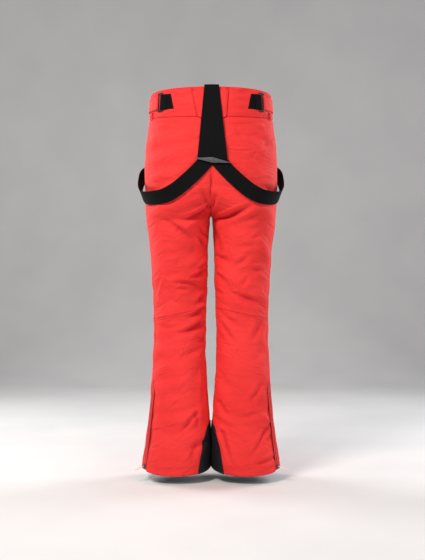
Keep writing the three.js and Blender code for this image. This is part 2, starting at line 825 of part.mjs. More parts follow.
/** The small loops just under the side tabs. */
function makeBeltLoops() {
  const y = -50;
  const middle = -63;
  const half = 10;
  for (const [name, side] of sides) {
    const frame = surfaceFrame(side, (rising) => sidePoint(side, y, middle + rising, 0));
    const outer = box([-4.5, -half, gap + 0.3], [4.5, half, gap + 4.7]);
    const inner = box([-10, 3 - half, gap - 2], [10, half - 3, gap + 3.5]);
    keep(`belt_loop_${name}`, placed(outer.subtract(inner), frame), 'shell');
  }
}

// ------------------------------------------------------------ the braces

/** Steps over the waist edge: offset and height, from outside to inside. */
function overEdge(edge, outside, inside, lift) {
  const middle = (outside + inside) / 2;
  const reach = (outside - inside) / 2;
  return [0, 36, 72, 108, 144, 180].map((degrees) => {
    const angle = THREE.MathUtils.degToRad(degrees);
    return [middle + reach * Math.cos(angle), edge - 1 + lift * Math.sin(angle)];
  });
}

/** Sample a smooth curve through the points, with steps between each pair. */
function smooth(points, steps) {
  const curve = new THREE.CatmullRomCurve3(points, false, 'centripetal');
  return curve.getPoints((points.length - 1) * steps);
}

/** The two elastics from inside the back waist, over its edge, to the junction. */
function makeBackStraps() {
  const edge = waistEdge(-waist.back);
  const insideFace = -bandWall - gap - liningWall;
  sides.forEach(([name, side], layer) => {
    const outside = seatStep[layer + 1];
    const inside = insideFace - seatStep[layer] - 1.6;
    const step = seatStep[1] - seatStep[0];
    const turn = overEdge(edge, outside, inside, 3 + 1.4 * layer * step);
    const foot = junctionX + side * (strapWidth / 2 + 0.3);
    const drift = (z) => THREE.MathUtils.mapLinear(z, edge, junctionZ, strapTopX, foot);
    const points = [
      [inside, -40 + 5 * layer],
      [inside, -22],
      ...turn.reverse(),
      [outside, -22],
      [outside, -60],
      [outside, -100],
      [outside, -145],
      [outside, junctionZ],
    ].map(([offset, z]) => {
      const x = offset < 0 ? strapTopX : drift(Math.min(z, edge));
      return new THREE.Vector3(x, -(section(z).back + offset), z);
    });
    const path = smooth(points, 3);
    const across = path.map(() => new THREE.Vector3(1, 0, 0));
    keep(`back_strap_${name}`, band(path, across, strapWidth, strapThickness), 'elastic');
  });
}

const patchHalf = 46.5;

/** The slim diamond patch sewn over the junction of the elastics. */
function makeJunctionPatch() {
  const outline = [
    [junctionX - patchHalf, junctionZ + 4.5],
    [junctionX + 1, junctionZ - 7.5],
    [junctionX + patchHalf, junctionZ - 7.5],
    [junctionX + 1, junctionZ + 6.5],
  ];
  const face = -(section(junctionZ).back + seatStep[2] + strapThickness / 2 + gap);
  keep('strap_junction_patch', prismY(outline, face - 1.2, face), 'patch');
}

const strapEndX = 92;            // where each side elastic crosses the front waist
const strapLift = 4.5;           // how far its straight part stands off the front
const seatRadius = 150;          // of the seat's curve across a side elastic
const strapLean = 0.55;          // slope of its face at the side, upper edge outwards

/** The route of one side elastic, from the junction round the hip to the waist. */
function sideStrapRoute(side) {
  const back = (x, z, offset) => facePoint(-1, side * x + junctionX, z, offset);
  const around = (y, z, offset) => sidePoint(side, y, z, offset);
  const front = (x, z, offset) => facePoint(1, side * x, z, offset);
  // a flat strap as wide as this stands so far off the seat's curve at its middle
  const crown = strapWidth ** 2 / (8 * seatRadius);
  const low = front(130, -128, strapLift);
  const high = front(strapEndX, -24, strapLift);
  const edge = waistEdge(waist.front * 0.87);
  const inside = -bandWall - gap - liningWall - 5.4;
  return {
    low,
    high,
    hip: [
      back(18, junctionZ - 4, seatStep[0]),
      back(44, 0.679 * crotchZ, 1.7 + crown),
      back(72, 0.757 * crotchZ, 3.7 + crown),
      back(100, 0.823 * crotchZ, 6.7 + crown),
      back(128, 0.865 * crotchZ, 10.7 + crown),
      around(-80, 0.868 * crotchZ, 11.7 + crown),
      around(-42, 0.823 * crotchZ, 12.2 + crown),
      around(0, 0.745 * crotchZ, 11.7 + crown),
      around(40, 0.658 * crotchZ, 12.7 + crown),
      around(76, 0.571 * crotchZ, 11.7 + crown),
      front(152, -160, 9),
    ],
    straight: [low, low.clone().lerp(high, 0.12), low.clone().lerp(high, 0.88), high],
    waist: [
      ...overEdge(edge, 3, inside, 3.4).map(([offset, z]) => front(strapEndX, z, offset)),
      front(strapEndX, -20, inside),
      front(strapEndX, -38, inside),
    ],
  };
}

/** The directions of a side elastic's straight part: up along it and out. */
function straightFrame(side, route) {
  const up = route.high.clone().sub(route.low).normalize();
  const middle = route.low.clone().lerp(route.high, 0.5);
  const out = outward(side, middle);
  out.addScaledVector(up, -out.dot(up)).normalize();
  return new THREE.Matrix4().makeBasis(up.clone().cross(out), up, out).setPosition(middle);
}

/** One side elastic: flat round the hip, straight up, level across the waist's edge. */
function sideStrap(side, route) {
  const steps = 3;
  const path = smooth([...route.hip, ...route.straight, ...route.waist], steps);
  const straightStart = steps * route.hip.length;
  const straightEnd = straightStart + steps * (route.straight.length - 1);
  const squared = new THREE.Vector3().setFromMatrixColumn(straightFrame(side, route), 0);
  const level = outward(side, route.high).cross(new THREE.Vector3(0, 0, 1)).negate();
  const across = path.map((point, i) => {
    if (i > straightEnd) return level;
    if (i >= straightStart) return squared;
    const along = path[i + 1].clone().sub(path[Math.max(i - 1, 0)]);
    const fromEnd = Math.min(i, straightStart - i) / straightStart;
    const facing = outward(side, point);
    facing.z = -strapLean * Math.sin(Math.PI * fromEnd) ** 4;
    return along.cross(facing).normalize();
  });
  return band(path, across, strapWidth, strapThickness);
}

/** The side elastics, the slides on them and the tabs that hold their ends. */
function makeSideStraps() {
  for (const [name, side] of sides) {
    const route = sideStrapRoute(side);
    keep(`side_strap_${name}`, sideStrap(side, route), 'elastic');

    const half = strapWidth / 2;
    const outer = box([-half - 4, -10, -2.4], [half + 4, 10, 2.4]);
    const channel = box([-half - 1, -20, -1.4], [half + 1, 20, 1.4]);
    const lower = box([-half - 1, -6.5, 0], [half + 1, -1.8, 5]);
    const upper = box([-half - 1, 1.8, 0], [half + 1, 6.5, 5]);
    const slide = outer.subtract(channel).subtract(lower).subtract(upper);
    keep(`strap_adjuster_${name}`, placed(slide, straightFrame(side, route)), 'buckle');

    const layer = -bandWall - gap - liningWall - gap;
    const outline = [
      [side * (strapEndX - 24), -46],
      [side * (strapEndX + 24), -46],
      [side * (strapEndX + 24), -14],
      [side * (strapEndX - 24), -14],
    ];
    const anchor = waistSkin(layer - 1, layer).intersect(prismY(outline, 0, beyond));
    keep(`front_tab_${name}`, anchor, 'elastic');
  }
}

// ------------------------------------------------------------ assembly

const finishes = {
  shell: { color: '#f8443e', roughness: 0.75, metalness: 0 },
  lining: { color: '#c9c6c8', roughness: 0.9, metalness: 0 },
  guard: { color: '#17161a', roughness: 0.7, metalness: 0 },
  gaiter: { color: '#141317', roughness: 0.8, metalness: 0 },
  elastic: { color: '#17181c', roughness: 0.9, metalness: 0 },
  patch: { color: '#6e6b6e', roughness: 0.8, metalness: 0 },
  buckle: { color: '#141418', roughness: 0.4, metalness: 0 },
  tape: { color: '#c3262b', roughness: 0.8, metalness: 0 },
  metal: { color: '#a8adb4', roughness: 0.35, metalness: 0.9 },
  pull: { color: '#f0b4b4', roughness: 0.5, metalness: 0 },
};

makeWaistband();
makeBody();
makeLegs();
makeZips();
makePockets();
makeFly();
makeCentreBackTab();
makeAdjusters();
makeBeltLoops();
makeBackStraps();
makeJunctionPatch();
makeSideStraps();

const group = new THREE.Group();
for (const { name, solid, finish } of pieces) {
  const mesh = new THREE.Mesh(
    geometryOf(solid),
    new THREE.MeshStandardMaterial(finishes[finish]),
  );
  mesh.name = name;
  group.add(mesh);
}

export default group;
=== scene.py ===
# %% [markdown]
# # Ski trousers with elastic braces
#
# A pair of insulated ski trousers hangs as if somebody wore it: coral shell cloth, a
# deep waistband, black elastic braces that hang down over the seat, black guards at
# the ankles. This file builds what the eye sees round the jointed frame that the CAD
# source gives. Lengths are worked out in millimetres and turned to metres once, where
# a mesh is made. +X is the wearer's right, +Y the wearer's front, +Z up.

# %% Open the frame
import math

import bmesh
import bpy
import numpy as np
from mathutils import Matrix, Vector


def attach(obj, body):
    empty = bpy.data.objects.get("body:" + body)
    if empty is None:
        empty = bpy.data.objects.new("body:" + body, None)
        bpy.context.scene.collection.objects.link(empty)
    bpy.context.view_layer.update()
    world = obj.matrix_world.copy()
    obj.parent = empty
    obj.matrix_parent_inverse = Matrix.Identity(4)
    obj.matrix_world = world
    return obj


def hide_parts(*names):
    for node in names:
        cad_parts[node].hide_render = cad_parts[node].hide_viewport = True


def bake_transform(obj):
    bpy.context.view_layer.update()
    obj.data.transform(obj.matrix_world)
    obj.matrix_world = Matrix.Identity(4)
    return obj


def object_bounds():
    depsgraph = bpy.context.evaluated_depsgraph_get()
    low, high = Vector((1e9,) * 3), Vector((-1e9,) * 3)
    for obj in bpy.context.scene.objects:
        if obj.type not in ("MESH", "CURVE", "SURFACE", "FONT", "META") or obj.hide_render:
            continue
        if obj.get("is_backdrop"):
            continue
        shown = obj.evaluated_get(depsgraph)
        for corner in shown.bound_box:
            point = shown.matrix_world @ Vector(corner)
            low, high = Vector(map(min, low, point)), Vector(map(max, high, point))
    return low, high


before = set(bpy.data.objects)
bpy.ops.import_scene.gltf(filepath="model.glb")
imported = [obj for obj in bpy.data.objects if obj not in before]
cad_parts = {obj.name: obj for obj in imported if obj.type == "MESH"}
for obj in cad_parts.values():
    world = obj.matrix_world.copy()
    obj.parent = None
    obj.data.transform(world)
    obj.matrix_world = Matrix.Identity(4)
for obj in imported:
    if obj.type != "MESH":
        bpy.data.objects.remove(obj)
cad_low, cad_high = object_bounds()
SIDES = (("left", -1), ("right", 1))
print("frame box", [round(v, 3) for v in (*cad_low, *cad_high)])

# %% [markdown]
# ## Camera
# The trousers are looked at level and from straight behind, from 2.6 m away, with the
# lens axis at mid-thigh. A lens of about 60 mm keeps both legs nearly parallel.

# %% Camera
CAMERA_DISTANCE = 2.6
CAMERA_HEIGHT = -0.512
camera = bpy.data.objects.new("camera", bpy.data.cameras.new("camera"))
bpy.context.scene.collection.objects.link(camera)
camera.location = (0.0042, -CAMERA_DISTANCE, CAMERA_HEIGHT)
camera.rotation_euler = (math.pi / 2, 0, 0)
camera.data.lens = 59.7
camera.data.sensor_width = 36
bpy.context.scene.camera = camera
bpy.context.scene.view_settings.view_transform = "Standard"

# %% [markdown]
# ## Node and colour helpers
# Every finish below is a small node tree. One function adds a node with its settings
# and links, and one turns the usual sRGB hex colours into the linear values that
# Blender mixes light in.

# %% Node and colour helpers


def linear(code, alpha=1.0):
    """An sRGB hex colour as linear red, green, blue and alpha."""
    share = np.array([int(code[i : i + 2], 16) for i in (0, 2, 4)]) / 255
    light = np.where(share <= 0.04045, share / 12.92, ((share + 0.055) / 1.055) ** 2.4)
    return (*light, alpha)


def add(tree, kind, inputs=None, **settings):
    """Add one shader node; inputs are plain values or the sockets to link from."""
    made = tree.nodes.new("ShaderNode" + kind)
    for key, value in settings.items():
        setattr(made, key, value)
    for key, value in (inputs or {}).items():
        if isinstance(value, bpy.types.NodeSocket):
            tree.links.new(value, made.inputs[key])
        else:
            made.inputs[key].default_value = value
    return made


def new_finish(name):
    """An empty material and its node tree."""
    material = bpy.data.materials.new(name)
    material.use_nodes = True
    material.node_tree.nodes.clear()
    return material, material.node_tree


def shade(tree, **inputs):
    """Close a finish with the principled shader; names use _ for a space."""
    shader = add(tree, "BsdfPrincipled", {k.replace("_", " "): v for k, v in inputs.items()})
    add(tree, "OutputMaterial", {"Surface": shader.outputs[0]})


def two_tones(tree, factor, dark, light, low=0.3, high=0.7):
    """A colour that runs from dark to light as factor runs from low to high."""
    ramp = add(tree, "ValToRGB", {"Fac": factor})
    for element, place, tone in zip(ramp.color_ramp.elements, (low, high), (dark, light)):
        element.position, element.color = place, linear(tone)
    return ramp.outputs["Color"]


# %% [markdown]
# ## Woven and knitted finishes
# Cloth is judged by its weave, so all cloth pieces carry a UV map in metres: U round
# or across the piece, V along it. Two wave textures on it, one for each thread
# direction, raise the surface a little. The shell is a fine polyester twill with
# threads 0.4 mm apart. That is finer than a render can show, so its ribs are drawn
# 1.8 mm apart. Fibres that stand off the surface catch light at a glancing angle,
# which is the sheen.

# %% Cloth finishes
RIB = 2 * math.pi / 20  # a wave texture has one band in this length at scale 1


def woven(name, dark, light, spacing, depth, roughness, sheen, tint, slant=1.0, shade_colour=None):
    """A woven cloth: two crossing sets of ribs, spacing metres apart, over slow stains.
    Where the mesh has a valley value, the colour turns to a darker red, painted shade for folds and seams."""
    material, tree = new_finish(name)
    cloth = add(tree, "UVMap", uv_map="cloth").outputs["UV"]
    place = add(tree, "TexCoord").outputs["Object"]
    ribs = []
    for turn in (slant * math.pi / 4, slant * math.pi / 4 + math.pi / 2):
        turned = add(tree, "Mapping", {"Vector": cloth, "Rotation": (0, 0, turn)})
        wave = add(tree, "TexWave", {"Vector": turned.outputs[0], "Scale": RIB / spacing})
        ribs.append(wave.outputs["Fac"])
    weave = add(tree, "Math", {0: ribs[0], 1: ribs[1]}, operation="MULTIPLY").outputs[0]
    stain = add(tree, "TexNoise", {"Vector": place, "Scale": 9.0, "Detail": 4.0}).outputs["Fac"]
    grain = add(tree, "TexNoise", {"Vector": cloth, "Scale": 420.0, "Detail": 2.0}).outputs["Fac"]
    tone = add(tree, "Math", {0: weave, 1: 0.12, 2: stain}, operation="MULTIPLY_ADD")
    height = add(tree, "Math", {0: grain, 1: 0.6, 2: weave}, operation="MULTIPLY_ADD")
    bump = add(tree, "Bump", {"Height": height.outputs[0], "Strength": 0.35, "Distance": depth})
    colour = two_tones(tree, tone.outputs[0], dark, light)
    if shade_colour:
        # slack cloth: sharp low ridges 40 to 70 mm apart, longer across the leg than up it
        turned = add(tree, "Mapping", {"Vector": cloth, "Rotation": (0, 0, 0.35), "Scale": (11, 23, 1)})
        drift = add(
            tree, "TexNoise", {"Vector": turned.outputs[0], "Scale": 1.0, "Detail": 2.5, "Distortion": 0.9}
        )
        around = add(tree, "Math", {0: drift.outputs["Fac"], 1: 0.5}, operation="SUBTRACT").outputs[0]
        ridge = add(tree, "Math", {0: around}, operation="ABSOLUTE").outputs[0]
        slack = add(tree, "Bump", {"Height": ridge, "Strength": 0.7, "Distance": 0.015})
        tree.links.new(slack.outputs[0], bump.inputs["Normal"])
        # painted shade: the valley value mixes in the darker red, so folds and seams look shaded
        valley = add(tree, "Attribute", attribute_name="valley").outputs["Fac"]
        shade_amount = add(tree, "MapRange", {"Value": valley, "To Max": 0.8}).outputs[0]
        colour = add(
            tree, "Mix", {0: shade_amount, 6: colour, 7: linear(shade_colour)}, data_type="RGBA"
        ).outputs[2]
    shade(
        tree,
        Base_Color=colour,
        Roughness=roughness,
        Normal=bump.outputs[0],
        Sheen_Weight=sheen,
        Sheen_Roughness=0.45,
        Sheen_Tint=linear(tint),
        Specular_IOR_Level=0.3,
    )
    return material


# C60F2A is the painted shade colour for the shell's folds and seams
shell_twill = woven(
    "polyester twill, coral", "E42B2A", "F33635", 0.0018, 0.0003, 0.8, 0.06, "FFB4A8", shade_colour="C60F2A"
)
lining_tricot = woven("brushed tricot, grey", "B4B0B4", "CFCBCE", 0.0024, 0.0003, 0.95, 0.3, "FFFFFF", 0.0)
guard_nylon = woven("coated nylon, black", "0E0C0F", "1A181C", 0.0022, 0.0004, 0.55, 0.05, "8A8A90", 0.0)
gaiter_ripstop = woven("ripstop nylon, black", "0F0F12", "19191D", 0.005, 0.0003, 0.5, 0.05, "8A8A90", 0.0)
zip_polyester = woven("zip tape, coral", "CF2A2A", "E03635", 0.0016, 0.0002, 0.8, 0.1, "FFB4A8")
print("cloth finishes", shell_twill.name, lining_tricot.name, guard_nylon.name)

# %% [markdown]
# ## Elastic finish
# The braces are woven elastic. Rubber threads run along the strap and the yarn over
# them makes fine cross ribs, 1.1 mm apart and drawn at 1.6 mm, while a smooth line
# runs down the middle. Its black yarn is soft and dull.

# %% Elastic finish


def elastic(name, dark, light):
    """Cross ribs along V, long cords along U, both on the strap's own UV in metres."""
    material, tree = new_finish(name)
    cloth = add(tree, "UVMap", uv_map="cloth").outputs["UV"]
    cross = add(
        tree, "TexWave", {"Vector": cloth, "Scale": RIB / 0.0016, "Distortion": 0.4}, bands_direction="Y"
    ).outputs["Fac"]
    cords = add(tree, "TexWave", {"Vector": cloth, "Scale": RIB / 0.0034}, bands_direction="X").outputs["Fac"]
    height = add(tree, "Math", {0: cords, 1: 0.5, 2: cross}, operation="MULTIPLY_ADD").outputs[0]
    fuzz = add(tree, "TexNoise", {"Vector": cloth, "Scale": 260.0, "Detail": 3.0}).outputs["Fac"]
    tone = add(tree, "Math", {0: height, 1: 0.35, 2: fuzz}, operation="MULTIPLY_ADD").outputs[0]
    bump = add(tree, "Bump", {"Height": height, "Strength": 0.5, "Distance": 0.0004})
    shade(
        tree,
        Base_Color=two_tones(tree, tone, dark, light, 0.35, 0.95),
        Roughness=0.85,
        Normal=bump.outputs[0],
        Sheen_Weight=0.03,
        Sheen_Roughness=0.5,
        Sheen_Tint=linear("9CA0AC"),
        Specular_IOR_Level=0.12,
    )
    return material


black_elastic = elastic("woven elastic, black", "040506", "0C0D10")

# %% [markdown]
# ## Hard finishes
# The waist rings and strap slides are moulded acetal, black and faintly rough from
# the mould. Zip sliders and the snap are die-cast zinc with a dark plated coat. The
# pale zip pulls are moulded rubber, and the badge is soft grey rubber as well.

# %% Hard finishes


def moulded(name, dark, light, roughness, grain, metallic=0.0):
    """A moulded or cast part: slow change of tone, fine grain of that size in metres."""
    material, tree = new_finish(name)
    place = add(tree, "TexCoord").outputs["Object"]
    patch = add(tree, "TexNoise", {"Vector": place, "Scale": 60.0, "Detail": 3.0}).outputs["Fac"]
    skin = add(tree, "TexNoise", {"Vector": place, "Scale": 1 / grain, "Detail": 2.0}).outputs["Fac"]
    bump = add(tree, "Bump", {"Height": skin, "Strength": 0.25, "Distance": 0.0001})
    worn = add(tree, "MapRange", {"Value": patch, "To Min": roughness - 0.08, "To Max": roughness + 0.08})
    shade(
        tree,
        Base_Color=two_tones(tree, patch, dark, light),
        Roughness=worn.outputs[0],
        Metallic=metallic,
        Normal=bump.outputs[0],
    )
    return material


black_acetal = moulded("moulded acetal, black", "09090B", "121215", 0.5, 0.0008)
dark_zinc = moulded("die-cast zinc, dark plated", "55555C", "74747C", 0.35, 0.0006, 1.0)
pale_rubber = moulded("moulded rubber, pale pink", "F2B9B4", "FBD2CC", 0.6, 0.0009)
red_rubber = moulded("moulded rubber, red", "C4252B", "D93238", 0.6, 0.0009)
grey_rubber = moulded("moulded rubber, grey", "403E41", "5A575A", 0.5, 0.0009)
coral_thread = moulded("polyester thread, coral", "B81F25", "D8332F", 0.7, 0.0005)
black_thread = moulded("polyester thread, black", "101014", "24242A", 0.7, 0.0005)
red_nylon = moulded("zip coil nylon, red", "A81E24", "C62C30", 0.45, 0.0006)

# %% [markdown]
# ## Mesh helpers
# Each new piece is a grid of points worked out as one array. The helper below turns
# the grid into quads, gives it the UV map in metres, and sets smooth shading.

# %% Mesh helpers


def lengths(grid, axis):
    """Distance run along one axis of a grid of points, from its first line."""
    steps = np.linalg.norm(np.diff(grid, axis=axis), axis=2)
    pad = [(0, 0), (0, 0)]
    pad[axis] = (1, 0)
    return np.cumsum(np.pad(steps, pad), axis=axis)


def grid_faces(rows, columns, wrap_rows=False, wrap_columns=False):
    """Quads of a grid whose last row or column may join on to the first."""
    r = np.arange(rows if wrap_rows else rows - 1)[:, None]
    c = np.arange(columns if wrap_columns else columns - 1)[None, :]
    below, beside = (r + 1) % rows, (c + 1) % columns
    corners = (r * columns + c, r * columns + beside, below * columns + beside, below * columns + c)
    return np.stack(np.broadcast_arrays(*corners), axis=-1).reshape(-1, 4)


def raw_mesh(name, points, faces, uv=None, material=None):
    """Put points (mm), faces and one UV (m) for each face corner into a mesh object."""
    mesh = bpy.data.meshes.new(name)
    mesh.from_pydata(np.asarray(points).reshape(-1, 3) * 0.001, [], faces.tolist())
    if uv is not None:
        mesh.uv_layers.new(name="cloth").data.foreach_set("uv", uv.reshape(-1).astype(np.float32))
    mesh.shade_smooth()
    made = bpy.data.objects.new(name, mesh)
    bpy.context.scene.collection.objects.link(made)
    if material:
        mesh.materials.append(material)
    return made


def keep_values(piece, name, values):
    """Store one number for each vertex, for a finish to read."""
    store = piece.data.attributes.new(name, "FLOAT", "POINT")
    store.data.foreach_set("value", np.asarray(values, np.float32).reshape(-1))


def cloth_grid(name, grid, material, flip=False, wrap_rows=False, wrap_columns=False):
    """A surface from a (rows, columns, 3) grid in mm, with U round it and V along it."""
    rows, columns = grid.shape[:2]
    faces = grid_faces(rows, columns, wrap_rows, wrap_columns)
    round_it, along_it = lengths(grid, 1) * 0.001, lengths(grid, 0) * 0.001
    round_it -= round_it[:, columns // 2 : columns // 2 + 1]
    uv = np.stack([round_it, along_it], axis=-1).reshape(-1, 2)[faces]
    if flip:
        faces, uv = faces[:, ::-1], uv[:, ::-1]
    return raw_mesh(name, grid, faces, uv, material)


def close_up(piece, distance=0.00002):
    """Join points that lie on each other, such as a seam's two edges or a pole."""
    work = bmesh.new()
    work.from_mesh(piece.data)
    bmesh.ops.remove_doubles(work, verts=work.verts, dist=distance)
    work.to_mesh(piece.data)
    work.free()
    return piece


def smoothstep(low, high, value):
    """0 before low, 1 past high, and an S-curve between; low may be the larger."""
    share = np.clip((value - low) / (high - low), 0, 1)
    return share * share * (3 - 2 * share)


# %% [markdown]
# ## The body that wears them
# The trousers take the shape of hips and legs. A chart gives, at each height, where
# one leg's oval has its outer side, inner side, front and back. Above the crotch the
# inner side lies past the centre line, so that both legs make one body. A smooth
# curve through the rows gives every height between them, and the oval is a little
# squarer than an ellipse.

# %% Leg chart
SQUARENESS = 2.2
LEG_CHART = np.array([
    # height, outer, inner, front, back
    [30, 167, -167, 99, 113],
    [0, 168, -168, 100, 114],
    [-62, 172, -172, 107, 121],
    [-129.87, 180, -180, 112, 131],
    [-166.5, 183.5, -183.5, 113, 136.5],
    [-199.8, 185, -185, 113, 139],
    [-259.74, 184, -101.75, 110, 138],
    [-299.7, 183, -46.25, 106, 132],
    [-333, 181, 0, 101, 122],
    [-355, 179, 3.5, 98, 112],
    [-419.32, 171, 8, 94, 100],
    [-522.24, 164, 10, 90, 84],
    [-631.8, 160, 14, 86, 72],
    [-737.4, 163, 14, 76, 80],
    [-860.48, 171, 6, 80, 84],
    [-925.64, 178, 2, 84, 86],
    [-1027, 193, 1, 92, 92],
    [-1051, 195, 1, 93, 93],
], float)


def section(z):
    """Centre, half width, front and back depth of a leg's oval at heights z: a cubic
    through the chart whose slope at each row is the mean slope beside it."""
    t, rows = -LEG_CHART[:, 0], LEG_CHART[:, 1:]
    at = np.clip(-np.asarray(z, float), t[0], t[-1])
    i = np.clip(np.searchsorted(t, at, "right"), 1, len(t) - 1)
    gap = t[i] - t[i - 1]
    p = (at - t[i - 1]) / gap
    before = np.where(i >= 2, i - 2, i)
    after = np.where(i + 1 < len(t), i + 1, i - 1)
    back_gap = t[i - 1] - np.where(i >= 2, t[before], t[i])
    next_gap = np.where(i + 1 < len(t), t[after], t[i - 1]) - t[i]
    w0, w1 = 0.5 * gap / back_gap, 0.5 * gap / next_gap
    weights = (
        -w0 * p**3 + 2 * w0 * p**2 - w0 * p,
        (1 + w0) * p**3 + (-1.5 - 2 * w0) * p**2 + (w0 - 0.5) * p + 1,
        (-1 - w1) * p**3 + (1.5 + w1) * p**2 + 0.5 * p,
        w1 * p**3 - w1 * p**2,
    )
    found = sum(w[..., None] * rows[j] for w, j in zip(weights, (before, i - 1, i, after)))
    outer, inner, front, back = np.moveaxis(found, -1, 0)
    return (outer + inner) / 2, (outer - inner) / 2, front, back


def power(value, exponent):
    """A signed power: the sign of value times its size to the exponent."""
    return np.sign(value) * np.abs(value) ** exponent


def remainder(share):
    """What is left of an oval's half size at a share of its other half size."""
    return (1 - np.minimum(1, np.abs(share)) ** SQUARENESS) ** (1 / SQUARENESS)


def oval(side, z, angle):
    """Point and outward direction of one leg's oval; angle 0 is outer, 90 degrees front."""
    z, angle = np.broadcast_arrays(np.asarray(z, float), angle)
    centre, half, front, back = section(z)
    depth = np.where(np.sin(angle) > 0, front, back)
    u = power(np.cos(angle), 2 / SQUARENESS)
    v = power(np.sin(angle), 2 / SQUARENESS)
    point = np.stack([side * (centre + half * u), depth * v, z], axis=-1)
    out = np.stack(
        [side * power(u, SQUARENESS - 1) / half, power(v, SQUARENESS - 1) / depth, 0 * z], axis=-1
    )
    return point, out / np.linalg.norm(out, axis=-1, keepdims=True)


print("hips", 2 * LEG_CHART[5, 1], "mm wide, hem", LEG_CHART[16, 1] - LEG_CHART[16, 2], "mm")

# %% [markdown]
# ## Folds
# Padded cloth on a body folds in soft rolls that meet in short, sharper valleys:
# under the seat, down the inner thighs, behind the knees and above the ankles. Each
# fold is drawn as a line on the back, the front or a side, with a depth at its start,
# middle and end and a width on each of its two sides. Across the line the cloth dips
# quickly and rises to a low shoulder beyond, which is what the eye reads as a fold.
# A narrow width above the line makes an overhanging roll with shade beneath it.

